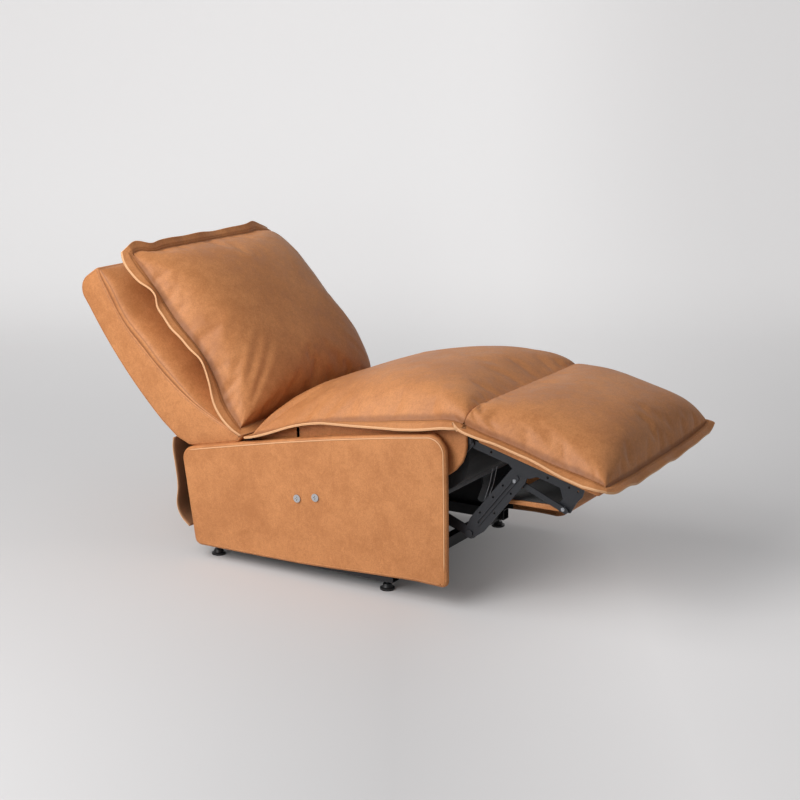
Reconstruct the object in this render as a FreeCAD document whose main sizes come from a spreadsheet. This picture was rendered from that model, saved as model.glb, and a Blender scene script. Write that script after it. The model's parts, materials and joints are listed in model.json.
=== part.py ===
import FreeCAD, Part
import math
import os
import re
import Sketcher

# A power recliner seat with plain side panels, in millimetres. The sitter faces -Y, +Z is up and
# the floor is Z = 0. "Right" is the sitter's right, at -X. The seat is drawn fully reclined, with
# the footrest out: every joint stands at its open stop.

vector = FreeCAD.Vector

sizes = {
    # side panels: leather over foam and a timber board
    "panel_face": 350, "panel_thick": 32, "panel_wrap": 9, "panel_skin": 8,
    "panel_low": 45, "panel_front": -362, "panel_high": 447, "panel_rear_low": 403,
    "panel_rear": 456, "panel_rear_high": 297, "panel_bow": 13,
    "front_corner": 55, "rear_corner": 34, "foot_corner": 22, "panel_edge": 7,
    # connector bolts through the panel
    "bolt_y": 25, "bolt_z": 226, "bolt_gap": 57, "bolt_drop": 11, "bolt_head": 21,
    "bolt_head_high": 3.5, "bolt_shank": 8, "bolt_slot": 2.2,
    # base frame and feet
    "rail_wide": 30, "rail_high": 30, "rail_wall": 2, "rail_front": -185, "rail_rear": 398,
    "rail_low": 25, "foot_front_y": -160, "foot_rear_y": 375, "foot_pad": 38,
    "foot_pad_high": 16, "stem": 8, "stem_nut": 13, "tube_wide": 25,
    # cam plates and the steel plates that run beside them
    "cam_thick": 4, "cam_front": -200, "cam_rear": 290, "cam_high": 322, "plate_thick": 4,
    "seat_plate_gap": 52, "arm_gap": 45, "bracket_gap": 58.5, "link_gap": 66, "rocker_gap": 70.5,
    "stay_gap": 75.3, "pin": 5, "clearance": 0.3,
    # travel of the seat on the cam plates, for the back's full angle
    "seat_travel": 22, "back_angle": 24, "cam_reach": 150, "cam_angle": 10,
    "back_y": 280, "back_z": 330, "guide_front_y": -140, "guide_rear_y": 170, "guide_z": 150,
    # footrest linkage
    "knuckle_y": -392, "knuckle_z": 421, "link_y": -535, "link_z": 369,
    "foot_link_y": -388, "foot_link_z": 184, "foot_slope": 15.4, "apron_pin": 286,
    "apron_drop": 31, "stay_offset": 45, "link_half": 24, "link_end": 15, "crank": 85,
    "crank_angle": 76, "crank_x": 90, "drive_tube": 11, "plate_eye": 14, "strap_wide": 16,
    "rail_lift": 19, "rail_deep": 13,
    # seat frame and cushions
    "seat_front": -387, "seat_rear": 249, "frame_front_z": 438, "frame_rear_z": 336,
    "side_rail_high": 45, "side_rail_wide": 22, "flange_wide": 30,
    "seat_flange_z": 449, "seat_crown": 112, "seat_fall": 102, "deck_slack": 0.6, "flange_thick": 7, "bull_set_in": 59,
    # footrest
    "board_gap": 4, "board_thick": 15, "board_start": 20, "board_length": 352, "board_set_in": 50,
    "foot_length": 398, "foot_crown": 94, "foot_flange": 8,
    # back
    "shell_y": 486, "shell_z": 317, "recline": 51.2, "shell_long": 500, "shell_deep": 100,
    "shell_set_in": 15, "shell_bow": 24, "shell_wall": 20, "shell_corner": 48,
    "pad_deep": 44, "pad_set_in": 25,
    "pad_start": 50, "cushion_deep": 200, "cushion_start": -98, "cushion_long": 588,
    "front_crown": 104,
}
places = {  # X of each layer, from the side panel's outer face
    "seat_plate_in": "panel_face - seat_plate_gap", "arm_in": "panel_face - arm_gap",
    "bracket_in": "panel_face - bracket_gap", "link_in": "panel_face - link_gap",
    "rocker_in": "panel_face - rocker_gap", "stay_in": "panel_face - stay_gap",
    "board_half": "panel_face - board_set_in", "shell_half": "panel_face - shell_set_in",
    "pad_half": "panel_face - pad_set_in", "bull_half": "panel_face - bull_set_in",
    "flange_half": "panel_face",
}

doc = FreeCAD.newDocument("Recliner")
sheet = doc.addObject("Spreadsheet::Sheet", "Sheet")
named = sizes | places
for row, (alias, number) in enumerate(named.items(), start=1):
    sheet.set(f"A{row}", f"={number}")
    sheet.setAlias(f"A{row}", alias)
doc.recompute()

nodes = []


def bind(text):
    """Writes a formula of bare size names as a formula on the sheet."""
    return re.sub(r"[a-z_]\w+", lambda word: "Sheet." + word.group(0) if word.group(0) in named
                  else word.group(0), str(text))


def value(text):
    """The number that a formula of size names comes to."""
    return float(sheet.evalExpression(bind(text)))


def keep(part, label):
    part.Label = label
    nodes.append(part)
    return part


def direction(angle):
    """The unit vector in the YZ plane at an angle from +Y towards +Z."""
    return vector(0, math.cos(math.radians(angle)), math.sin(math.radians(angle)))


# ---------------------------------------------------------------- sketches and features

def newSketch(body, role, offset):
    """A sketch on one of the body's own origin planes, moved along the plane's normal."""
    sketch = body.newObject("Sketcher::SketchObject", body.Name + "_sketch")
    plane = [part for part in body.Origin.OriginFeatures if part.Role == role][0]
    sketch.AttachmentSupport = [(plane, "")]
    sketch.MapMode = "FlatFace"
    sketch.setExpression("AttachmentOffset.Base.z", bind(offset))
    return sketch


def pinPoint(sketch, geometry, end, place):
    """Holds one point of the sketch at two formulas."""
    for axis, text in zip(("DistanceX", "DistanceY"), place):
        index = sketch.addConstraint(Sketcher.Constraint(axis, -1, 1, geometry, end, value(text)))
        sketch.setExpression(f"Constraints[{index}]", bind(text))


def drawOutline(sketch, corners):
    """A closed outline through corners given as pairs of formulas. A corner's third formula, where
    it has one, is how far the edge that follows it bows outwards as an arc."""
    places = [vector(value(corner[0]), value(corner[1]), 0) for corner in corners]
    first = sketch.GeometryCount
    count = len(corners)
    ends = []
    for index, corner in enumerate(corners):
        start, stop = places[index], places[(index + 1) % count]
        if len(corner) == 2:
            sketch.addGeometry(Part.LineSegment(start, stop), False)
            ends.append((1, 2))
            continue
        chord = stop - start
        outwards = vector(chord.y, -chord.x, 0).normalize()
        sketch.addGeometry(Part.Arc(start, (start + stop) / 2 + outwards * value(corner[2]), stop),
                           False)
        arc = sketch.Geometry[first + index]
        ends.append((1, 2) if arc.StartPoint.isEqual(start, 1e-6) else (2, 1))
    for index, corner in enumerate(corners):
        following = (index + 1) % count
        sketch.addConstraint(Sketcher.Constraint("Coincident", first + index, ends[index][1],
                                                 first + following, ends[following][0]))
        pinPoint(sketch, first + index, ends[index][0], corner)
        if len(corner) == 3:
            other, bow = corners[following], f"({corner[2]})"
            chord = f"((({other[0]}) - ({corner[0]}))^2 + (({other[1]}) - ({corner[1]}))^2)"
            radius = f"abs({chord} / (8 * {bow}) + {bow} / 2)"
            size = sketch.addConstraint(Sketcher.Constraint("Radius", first + index, value(radius)))
            sketch.setExpression(f"Constraints[{size}]", bind(radius))


def drawCircles(sketch, circles):
    """Circles given as two formulas for the centre and one for the diameter."""
    for across, up, diameter in circles:
        centre = vector(value(across), value(up), 0)
        index = sketch.addGeometry(Part.Circle(centre, vector(0, 0, 1), value(diameter) / 2), False)
        pinPoint(sketch, index, 3, (across, up))
        size = sketch.addConstraint(Sketcher.Constraint("Diameter", index, value(diameter)))
        sketch.setExpression(f"Constraints[{size}]", bind(diameter))


def drawSlot(sketch, start, stop, width):
    """A straight slot with round ends between two places, drawn level along the sketch's X."""
    half = value(width) / 2
    low, high = value(start[0]), value(stop[0])
    level = value(start[1])
    first = sketch.GeometryCount
    sketch.addGeometry(Part.LineSegment(vector(low, level + half, 0), vector(high, level + half, 0)))
    sketch.addGeometry(Part.ArcOfCircle(Part.Circle(vector(high, level, 0), vector(0, 0, 1), half),
                                        -math.pi / 2, math.pi / 2))
    sketch.addGeometry(Part.LineSegment(vector(high, level - half, 0), vector(low, level - half, 0)))
    sketch.addGeometry(Part.ArcOfCircle(Part.Circle(vector(low, level, 0), vector(0, 0, 1), half),
                                        math.pi / 2, 3 * math.pi / 2))
    for line, lineEnd, arc, arcEnd in ((0, 2, 1, 2), (2, 1, 1, 1), (2, 2, 3, 2), (0, 1, 3, 1)):
        sketch.addConstraint(Sketcher.Constraint("Tangent", first + line, lineEnd,
                                                 first + arc, arcEnd))
    sketch.addConstraint(Sketcher.Constraint("Equal", first + 1, first + 3))
    size = sketch.addConstraint(Sketcher.Constraint("Radius", first + 1, half))
    sketch.setExpression(f"Constraints[{size}]", bind(f"({width}) / 2"))
    pinPoint(sketch, first + 1, 3, stop)
    pinPoint(sketch, first + 3, 3, start)


def pad(body, sketch, length, reversed=False):
    feature = body.newObject("PartDesign::Pad", body.Name + "_pad")
    feature.Profile = sketch
    feature.setExpression("Length", bind(length))
    feature.Reversed = reversed
    body.Tip = feature
    doc.recompute()
    return feature


def pocket(body, sketch, depth=None, reversed=False):
    """A cut from the sketch: through everything, or to a depth."""
    before = body.Shape.Volume
    feature = body.newObject("PartDesign::Pocket", body.Name + "_pocket")
    feature.Profile = sketch
    if depth is None:
        feature.Type = "ThroughAll"
        feature.Midplane = True
    else:
        feature.setExpression("Length", bind(depth))
        feature.Reversed = reversed
    body.Tip = feature
    doc.recompute()
    if body.Shape.Volume > before - 1e-3:
        raise ValueError("the cut removes nothing from " + body.Label)
    return feature


def roundCorners(body, corners):
    """Fillets the edges that run along X through the given corners, each with its radius."""
    for place, radius in corners:
        base = body.Tip
        across, up = value(place[0]), value(place[1])
        edges = [f"Edge{index}" for index, edge in enumerate(base.Shape.Edges, start=1)
                 if len(edge.Vertexes) == 2
                 and all(math.hypot(end.Y - across, end.Z - up) < 1e-3 for end in edge.Vertexes)]
        feature = body.newObject("PartDesign::Fillet", body.Name + "_fillet")
        feature.Base = (base, edges)
        feature.setExpression("Radius", bind(radius))
        body.Tip = feature
        doc.recompute()


def sideOffset(side, inner):
    return f"{side} * ({inner})"


def flatPlate(label, side, inner, thick, corners, rounding=(), holes=(), alone=True):
    """A plate parallel to YZ whose inner face stands at a distance from the middle plane."""
    body = doc.addObject("PartDesign::Body", label)
    sketch = newSketch(body, "YZ_Plane", sideOffset(side, inner))
    drawOutline(sketch, corners)
    pad(body, sketch, thick, reversed=side < 0)
    roundCorners(body, rounding)
    if holes:
        drilled = newSketch(body, "YZ_Plane", sideOffset(side, inner))
        drawCircles(drilled, holes)
        pocket(body, drilled)
    return keep(body, label) if alone else body


def crossPart(label, left, right, corners, rounding=(), alone=True):
    """A part with one outline in YZ, from one X to another; alone, it is a node of its own."""
    body = doc.addObject("PartDesign::Body", label)
    sketch = newSketch(body, "YZ_Plane", left)
    drawOutline(sketch, corners)
    pad(body, sketch, f"({right}) - ({left})")
    roundCorners(body, rounding)
    return keep(body, label) if alone else body


def rod(name, start, stop, place, diameter):
    """A round bar along X."""
    bar = doc.addObject("Part::Cylinder", name)
    bar.Placement = FreeCAD.Placement(vector(), FreeCAD.Rotation(vector(0, 1, 0), 90))
    bar.setExpression("Radius", bind(f"({diameter}) / 2"))
    bar.setExpression("Height", bind(f"({stop}) - ({start})"))
    bar.setExpression(".Placement.Base.x", bind(start))
    bar.setExpression(".Placement.Base.y", bind(place[0]))
    bar.setExpression(".Placement.Base.z", bind(place[1]))
    return bar


def column(name, place, low, high, diameter):
    """An upright round bar."""
    bar = doc.addObject("Part::Cylinder", name)
    bar.setExpression("Radius", bind(f"({diameter}) / 2"))
    bar.setExpression("Height", bind(f"({high}) - ({low})"))
    bar.setExpression(".Placement.Base.x", bind(place[0]))
    bar.setExpression(".Placement.Base.y", bind(place[1]))
    bar.setExpression(".Placement.Base.z", bind(low))
    return bar


def block(name, across, along, up):
    """A rectangular bar between three pairs of formulas."""
    box = doc.addObject("Part::Box", name)
    for size, axis, (low, high) in zip(("Length", "Width", "Height"), "xyz", (across, along, up)):
        box.setExpression(size, bind(f"({high}) - ({low})"))
        box.setExpression(f".Placement.Base.{axis}", bind(low))
    return box


def cutFrom(name, base, tool):
    cut = doc.addObject("Part::Cut", name)
    cut.Base = base
    cut.Tool = tool
    return cut


def fused(name, parts):
    joined = doc.addObject("Part::MultiFuse", name)
    joined.Shapes = parts
    return joined


def grouped(label, parts):
    """Several separate solids of one kind in one node."""
    together = doc.addObject("Part::Compound", label)
    together.Links = parts
    return keep(together, label)


def solidFeature(label, shape):
    feature = doc.addObject("Part::Feature", label)
    feature.Shape = shape
    return keep(feature, label)


sides = (("right", -1), ("left", 1))


def span(side, near, far):
    """The low and high X of something between two distances from the middle plane."""
    if side < 0:
        return f"-1 * ({far})", f"-1 * ({near})"
    return near, far


# ---------------------------------------------------------------- the base, which stands still

railTop = "rail_low + rail_high"
railInner = "panel_face - panel_thick - rail_wide"
railOuter = "panel_face - panel_thick"
camInner = "panel_face - panel_thick - cam_thick"


def panelOutline(inset):
    """The side panel seen from the side, drawn in from its edge by an inset."""
    return [(f"panel_front + {inset}", f"panel_low + {inset}"),
            (f"panel_rear_low - {inset}", f"panel_low + {inset}"),
            (f"panel_rear - {inset}", f"panel_rear_high - {inset}", "panel_bow"),
            (f"panel_front + {inset}", f"panel_high - {inset}")]


def panelRounding(inset):
    low, rear, high, front = panelOutline(inset)
    return [(front, f"front_corner - {inset}"), (high, f"rear_corner - {inset}"),
            (rear, f"foot_corner - {inset}"), (low, f"foot_corner - {inset}")]


def boltPlaces():
    drop = math.radians(value("bolt_drop"))
    along = f"bolt_gap * {math.cos(drop):.6f}"
    down = f"bolt_gap * {math.sin(drop):.6f}"
    return [("bolt_y", "bolt_z"), (f"bolt_y + {along}", f"bolt_z - {down}")]


def makePanel(name, side):
    """A timber board wrapped in foam and leather: the cover closes over the board's edges."""
    boltHoles = [(*place, "bolt_shank + 2 * clearance") for place in boltPlaces()]
    cover = doc.addObject("PartDesign::Body", f"side_panel_cover_{name}")
    sketch = newSketch(cover, "YZ_Plane", sideOffset(side, railOuter))
    drawOutline(sketch, panelOutline("0"))
    pad(cover, sketch, "panel_thick", reversed=side < 0)
    roundCorners(cover, panelRounding("0"))
    outer = [f"Face{index}" for index, face in enumerate(cover.Shape.Faces, start=1)
             if abs(abs(face.CenterOfMass.x) - value("panel_face")) < 1e-3]
    base = cover.Tip
    soft = cover.newObject("PartDesign::Fillet", cover.Name + "_edge")
    soft.Base = (base, outer)
    soft.setExpression("Radius", bind("panel_edge"))
    cover.Tip = soft
    doc.recompute()
    hollow = newSketch(cover, "YZ_Plane", sideOffset(side, railOuter))
    drawOutline(hollow, panelOutline("panel_wrap"))
    pocket(cover, hollow, "panel_thick - panel_skin", reversed=side > 0)
    drilled = newSketch(cover, "YZ_Plane", sideOffset(side, railOuter))
    drawCircles(drilled, boltHoles)
    pocket(cover, drilled)
    keep(cover, f"side_panel_cover_{name}")
    flatPlate(f"side_panel_board_{name}", side, railOuter, "panel_thick - panel_skin",
              panelOutline("panel_wrap"), (), boltHoles)


def connectorBolts(name, side):
    """Two connector bolts with shallow cross-recess heads, from the panel's face to a nut."""
    bolts = []
    for index, (across, up) in enumerate(boltPlaces()):
        head = rod(f"bolt_head_{name}_{index}", *span(side, "panel_face", "panel_face + bolt_head_high"),
                   (across, up), "bolt_head")
        low, high = span(side, "panel_face + bolt_head_high - 1.6", "panel_face + bolt_head_high + 1")
        recess = fused(f"bolt_recess_{name}_{index}", [
            block(f"bolt_slot_{name}_{index}_{turn}", (low, high),
                  (f"{across} - {wide} / 2", f"{across} + {wide} / 2"),
                  (f"{up} - {tall} / 2", f"{up} + {tall} / 2"))
            for turn, (wide, tall) in enumerate((("bolt_head * 0.5", "bolt_slot"),
                                                 ("bolt_slot", "bolt_head * 0.5")))])
        drive = cutFrom(f"bolt_drive_{name}_{index}", head, recess)
        shank = rod(f"bolt_shank_{name}_{index}", *span(side, f"{camInner} - 9", "panel_face + 0.5"),
                    (across, up), "bolt_shank")
        nut = rod(f"bolt_nut_{name}_{index}", *span(side, f"{camInner} - 6.5", camInner),
                  (across, up), "bolt_shank * 1.8")
        bolts.append(fused(f"bolt_{name}_{index}", [drive, shank, nut]))
    return bolts


def makeFoot(name, side, place):
    """A plastic levelling foot: a wide pad that narrows to a collar round its stem."""
    body = doc.addObject("PartDesign::Body", name)
    sketch = newSketch(body, "XZ_Plane", "0")
    half = "foot_pad / 2"
    drawOutline(sketch, [("0", "0"), (f"{half} - 1.5", "0"), (half, "1.5"), (half, "6"),
                         (f"{half} - 5", "8"), (f"{half} - 8", "foot_pad_high"),
                         ("0", "foot_pad_high")])
    turned = body.newObject("PartDesign::Revolution", body.Name + "_turn")
    turned.Profile = sketch
    turned.ReferenceAxis = (sketch, ["V_Axis"])
    turned.Angle = 360
    body.Tip = turned
    for axis, text in (("x", f"{side} * (panel_face - panel_thick - rail_wide / 2)"), ("y", place)):
        body.setExpression(f".Placement.Base.{axis}", bind(text))
    return body


def makeFeet():
    feet, stems = [], []
    for name, side in sides:
        for end, place in (("front", "foot_front_y"), ("rear", "foot_rear_y")):
            feet.append(makeFoot(f"foot_{end}_{name}", side, place))
            spot = (f"{side} * (panel_face - panel_thick - rail_wide / 2)", place)
            stem = column(f"stem_{end}_{name}", spot, "foot_pad_high", "rail_low", "stem")
            nut = column(f"stem_nut_{end}_{name}", spot, "rail_low - 5", "rail_low", "stem_nut")
            stems.append(fused(f"foot_stem_{end}_{name}", [stem, nut]))
    grouped("levelling_feet", feet)
    grouped("foot_stems", stems)


def hollowBar(label, across, along, up, wall, axis):
    """A square steel tube, open at both ends, along X (axis 0) or Y (axis 1)."""
    outer = block(label + "_outer", across, along, up)
    inner = [across, along, up]
    inner = [pair if index == axis else (f"{pair[0]} + {wall}", f"{pair[1]} - {wall}")
             for index, pair in enumerate(inner)]
    tube = cutFrom(label, outer, block(label + "_bore", *inner))
    return keep(tube, label)


def makeBaseFrame():
    height = ("rail_low", railTop)
    for name, side in sides:
        hollowBar(f"base_rail_{name}", span(side, railInner, railOuter),
                  ("rail_front", "rail_rear"), height, "rail_wall", 1)
    for end, place in (("front", "foot_front_y"), ("rear", "foot_rear_y")):
        hollowBar(f"base_cross_tube_{end}", (f"-1 * ({railInner})", railInner),
                  (f"{place} - tube_wide / 2", f"{place} + tube_wide / 2"), height, "rail_wall", 0)


def camPath(count=9):
    """Where the back arm's pin stands in the cam plate as the back comes up."""
    places = []
    for step in range(-1, count + 1):
        share = step / (count - 1)
        turn = 180 + value("cam_angle") + value("back_angle") * share
        arm = direction(turn) * value("cam_reach")
        places.append(vector(0, value("back_y") + value("seat_travel") * share,
                             value("back_z")) + arm)
    return places


def makeCamPlate(name, side):
    """The base side plate, with a curved slot for the back arm's pin and two level guide slots."""
    high = "cam_high"
    label = f"cam_plate_{name}"
    body = doc.addObject("PartDesign::Body", label)
    sketch = newSketch(body, "YZ_Plane", sideOffset(side, camInner))
    drawOutline(sketch, [("cam_front", railTop), ("cam_rear", railTop), ("cam_rear", f"{high} * 0.55"),
                         ("cam_rear - 80", high), ("back_y - cam_reach - 46", high),
                         ("cam_front", f"{high} * 0.6")])
    pad(body, sketch, "cam_thick", reversed=side < 0)
    slots = newSketch(body, "YZ_Plane", sideOffset(side, camInner))
    for place in ("guide_front_y", "guide_rear_y"):
        drawSlot(slots, (f"{place} - 1", "guide_z"), (f"{place} + seat_travel + 1", "guide_z"),
                 "2 * pin + 2 * clearance")
    pocket(body, slots)
    holes = newSketch(body, "YZ_Plane", sideOffset(side, camInner))
    drawCircles(holes, [(*place, "bolt_shank + 2 * clearance") for place in boltPlaces()])
    pocket(body, holes)
    curved = newSketch(body, "YZ_Plane", sideOffset(side, camInner))
    drawCam(curved)
    pocket(body, curved)
    keep(body, label)


def drawCam(sketch):
    """The curved slot: the pin's path, widened by the pin's radius and its clearance."""
    path = Part.BSplineCurve()
    path.interpolate(camPath())
    half = value("pin + clearance")
    firstU, lastU = path.FirstParameter, path.LastParameter
    upper, lower = [], []
    for step in range(9):
        at = path.parameter(camPath()[0]) + (lastU - firstU) * step / 8
        place, along = path.value(at), path.tangent(at)[0]
        normal = vector(0, -along.z, along.y)
        upper.append(place + normal * half)
        lower.append(place - normal * half)
    flat = [[vector(point.y, point.z, 0) for point in edge] for edge in (upper, lower)]
    for edge in flat:
        curve = Part.BSplineCurve()
        curve.interpolate(edge)
        sketch.addGeometry(curve, False)
    for end, swap in ((0, True), (-1, False)):
        middle = path.value(firstU if swap else lastU)
        along = path.tangent(firstU if swap else lastU)[0] * (-1 if swap else 1)
        tip = middle + along * half
        sketch.addGeometry(Part.Arc(flat[0][end], vector(tip.y, tip.z, 0), flat[1][end]), False)


# ---------------------------------------------------------------- places in the linkage

def awayFrom(place, reach, angle):
    """Formulas for a place at a reach from another, along an angle from +Y towards +Z."""
    turn = math.radians(angle)
    return (f"{place[0]} + ({reach}) * {math.cos(turn):.8f}",
            f"{place[1]} + ({reach}) * {math.sin(turn):.8f}")


def onFootrest(along, off):
    """A place on the footrest: along it from its hinge, and off its underside's line."""
    slope = value("foot_slope")
    return awayFrom(awayFrom(knuckle, along, 180 + slope), off, 90 + slope)


knuckle = ("knuckle_y", "knuckle_z")
linkTop = ("link_y", "link_z")
linkFoot = ("foot_link_y", "foot_link_z")
driveTube = ("foot_link_y - link_y + knuckle_y", "foot_link_z - link_z + knuckle_z")
backPivot = ("back_y", "back_z")
camPin = awayFrom(backPivot, "cam_reach", 180 + value("cam_angle"))
apronPin = onFootrest("apron_pin", "-1 * apron_drop")
linkLong = math.hypot(value("foot_link_y - link_y"), value("foot_link_z - link_z"))
linkTurn = math.degrees(math.atan2(value("foot_link_z - link_z"), value("foot_link_y - link_y")))
stayTop = awayFrom(linkTop, "stay_offset", linkTurn)
stayFoot = awayFrom(apronPin, "stay_offset", linkTurn)
crankPin = awayFrom(driveTube, "crank", -value("crank_angle"))
blockPin = (f"{driveTube[0]} + 2 * crank * {math.cos(math.radians(value('crank_angle'))):.8f}",
            driveTube[1])
holeWide = "2 * pin + 2 * clearance"
upperTube = ("seat_rear - 139", f"{driveTube[1]} + rail_lift + rail_deep + drive_tube")


def frameLine(along):
    """The height of the seat frame's top at a distance along Y."""
    slope = "(frame_rear_z - frame_front_z) / (seat_rear - seat_front)"
    return f"frame_front_z + {slope} * ({along} - seat_front)"


# ---------------------------------------------------------------- the seat, which slides on the base

def makeSeatPlate(name, side):
    """The steel plate that carries the seat and holds every fixed pivot on its side."""
    eye = "plate_eye"
    corners = [(f"{driveTube[0]} - {eye}", f"{driveTube[1]} - {eye}"),
               (f"guide_front_y - {eye}", f"guide_z - {eye}"),
               (f"guide_rear_y + {eye}", f"guide_z - {eye}"),
               (f"back_y + {eye}", f"back_z - {eye}"), (f"back_y + {eye}", f"back_z + {eye}"),
               (f"guide_rear_y - 20", "back_z - 2"), ("0", "back_z + 12"),
               (f"{knuckle[0]} + 40", f"{knuckle[1]} - 24"),
               (f"{knuckle[0]} - 6", f"{knuckle[1]} + 12"),
               (f"{knuckle[0]} - 12", f"{knuckle[1]} - 8"),
               (f"{driveTube[0]} - {eye} - 4", f"{driveTube[1]} + {eye}")]
    rounding = [(corners[2], "12"), (corners[3], "10"), (corners[4], "10"), (corners[7], "20"),
                (corners[0], "8")]
    tube = f"drive_tube * 2 + 2 * clearance"
    holes = [(*driveTube, tube), (*knuckle, holeWide), (*backPivot, holeWide),
             ("-30", "250", "46"), ("70", "235", "46"), ("-115", "290", "40")]
    flatPlate(f"seat_plate_{name}", side, "seat_plate_in", "plate_thick", corners, rounding, holes)


def makeSeatFrame():
    """A timber frame on the seat plates: a padded nose rail, two side rails and a rear rail."""
    inner = "seat_plate_in"
    for name, side in sides:
        low, high = span(side, f"{inner} - side_rail_wide", inner)
        start, stop = "seat_front + 62", "seat_rear - 8"
        crossPart(f"seat_side_rail_{name}", low, high,
                  [(start, f"{frameLine(start)} - side_rail_high"),
                   (stop, f"{frameLine(stop)} - side_rail_high"),
                   (stop, frameLine(stop)), (start, frameLine(start))])
    reach = f"{inner} - side_rail_wide"
    back, front = "seat_rear - 8", "seat_rear - 33"
    crossPart("seat_rear_rail", f"-1 * ({reach})", reach,
              [(front, f"{frameLine(front)} - side_rail_high"),
               (back, f"{frameLine(back)} - side_rail_high"),
               (back, frameLine(back)), (front, frameLine(front))])
    nose = "seat_front"
    crossPart("seat_front_rail", "-1 * bull_half", "bull_half",
              [(f"{nose} + 54", "frame_front_z - 153"), (f"{nose} + 62", "frame_front_z - 145"),
               (f"{nose} + 62", frameLine(f"{nose} + 62")), (f"{nose} + 22", frameLine(f"{nose} + 22")),
               (f"{nose} + 2", "frame_front_z - 68"), (f"{nose} + 10", "frame_front_z - 120")],
              [((f"{nose} + 22", frameLine(f"{nose} + 22")), "14"),
               ((f"{nose} + 2", "frame_front_z - 68"), "60"),
               ((f"{nose} + 10", "frame_front_z - 120"), "18")])


def makeSeatCrossTubes():
    """Two round tubes that tie the seat plates together and carry the actuators."""
    reach = "seat_plate_in"
    tubes = []
    for label, place in (("seat_cross_tube_upper", upperTube),
                         ("seat_cross_tube_lower", ("guide_rear_y", "guide_z"))):
        outer = rod(label + "_outer", f"-1 * {reach}", reach, place, "2 * drive_tube")
        bore = rod(label + "_bore", f"-1 * {reach}", reach, place, "2 * drive_tube - 4")
        tubes.append(cutFrom(label, outer, bore))
    grouped("seat_cross_tubes", tubes)


def makeGuidePins():
    """Headed pins on the seat plates that run in the cam plates' level slots."""
    pins = []
    for name, side in sides:
        for place in ("guide_front_y", "guide_rear_y"):
            pins.append(rod(f"guide_pin_{name}_{place}",
                            *span(side, "seat_plate_in + plate_thick", "panel_face - panel_thick - 0.5"),
                            (place, "guide_z"), "2 * pin"))
    grouped("seat_guide_pins", pins)


def springPath(across):
    """A sinuous spring seen from above: runs across it joined by half turns."""
    half, pitch = 20, 36
    start, stop = value("seat_front + 66"), value("seat_rear - 37")
    count = int((stop - start) / pitch)
    edges = []
    for turn in range(count):
        near = start + turn * pitch
        sign = 1 if turn % 2 else -1
        edges.append(Part.makeLine(vector(across - sign * half, near, 0),
                                   vector(across + sign * half, near, 0)))
        if turn < count - 1:
            edges.append(Part.Arc(vector(across + sign * half, near, 0),
                                  vector(across + sign * (half + pitch / 2), near + pitch / 2, 0),
                                  vector(across + sign * half, near + pitch, 0)).toShape())
    return Part.Wire(edges), start


def makeSprings():
    """Five sinuous springs from the nose rail to the rear rail, laid on the frame's slope."""
    wireHalf = 1.9
    springs = []
    slope = math.atan2(value("frame_rear_z - frame_front_z"), value("seat_rear - seat_front"))
    for row in range(-2, 3):
        path, start = springPath(row * 100)
        square = Part.makePolygon([vector(0, start - wireHalf, -wireHalf),
                                   vector(0, start + wireHalf, -wireHalf),
                                   vector(0, start + wireHalf, wireHalf),
                                   vector(0, start - wireHalf, wireHalf),
                                   vector(0, start - wireHalf, -wireHalf)])
        square.translate(vector(path.Edges[0].valueAt(path.Edges[0].FirstParameter).x, 0, 0))
        springs.append(path.makePipeShell([square], True, True))
    shape = Part.Compound(springs)
    shape.rotate(vector(0, value("seat_front"), 0), vector(1, 0, 0), math.degrees(slope))
    shape.translate(vector(0, 0, value("frame_front_z") - wireHalf - 1))
    solidFeature("seat_springs", shape)


def softSolid(label, sections):
    """A smooth solid through closed wires."""
    return solidFeature(label, Part.makeLoft(sections, True, False))


def closedSection(across, lower, upper):
    """A section at one X: a lower line of straight edges, closed by a smooth upper edge."""
    low = [vector(across, *place) for place in lower]
    high = [vector(across, *place) for place in upper]
    edges = [Part.makeLine(start, stop) for start, stop in zip(low, low[1:])]
    edges.append(Part.makeLine(low[-1], high[-1]))
    crown = Part.BSplineCurve()
    crown.interpolate(high)
    edges.append(crown.toShape())
    edges.append(Part.makeLine(high[0], low[0]))
    return Part.Wire(Part.__sortEdges__(edges))


def acrossWidth(half):
    """Each station's X and how full the cushion is there, from one flat edge to the other."""
    brim = half - value("flange_wide")
    left = [(-half, 0)]
    for share in (1, 0.92, 0.79, 0.6, 0.33, 0):
        left.append((-brim * share, (1 - share ** 3) ** 0.62))
    return left + [(-place, full) for place, full in reversed(left[:-1])]


# the cushion's line from front to rear: a share of its length and of its fall
seatLine = ((0, 0), (0.12, 0.03), (0.25, 0.1), (0.48, 0.27), (0.67, 0.4), (0.865, 0.79), (1, 1))


def seatDrop(share):
    for (start, high), (stop, low) in zip(seatLine, seatLine[1:]):
        if share <= stop:
            return high + (low - high) * (share - start) / (stop - start)


def makeSeatCushion():
    """A filled leather cushion on the seat, with a flat edge that lies over the side panels."""
    front, rear = value("seat_front + clearance"), value("seat_rear")
    flange, crown, thick = (value(name) for name in ("seat_flange_z", "seat_crown", "flange_thick"))
    fall = value("seat_fall")
    lower = [(front + (rear - front) * share, flange - fall * drop) for share, drop in seatLine]
    profile = ((0, 0.38), (0.05, 0.6), (0.14, 0.84), (0.26, 1), (0.39, 1), (0.51, 0.93), (0.64, 0.77),
               (0.77, 0.58), (0.89, 0.32), (0.954, 0.14), (1, 0))
    sections = []
    for across, full in acrossWidth(value("flange_half")):
        upper = [(front + (rear - front) * share,
                  flange - fall * seatDrop(share) + thick + crown * rise * full)
                 for share, rise in profile]
        sections.append(closedSection(across, lower, upper))
    softSolid("seat_cushion", sections)


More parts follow.
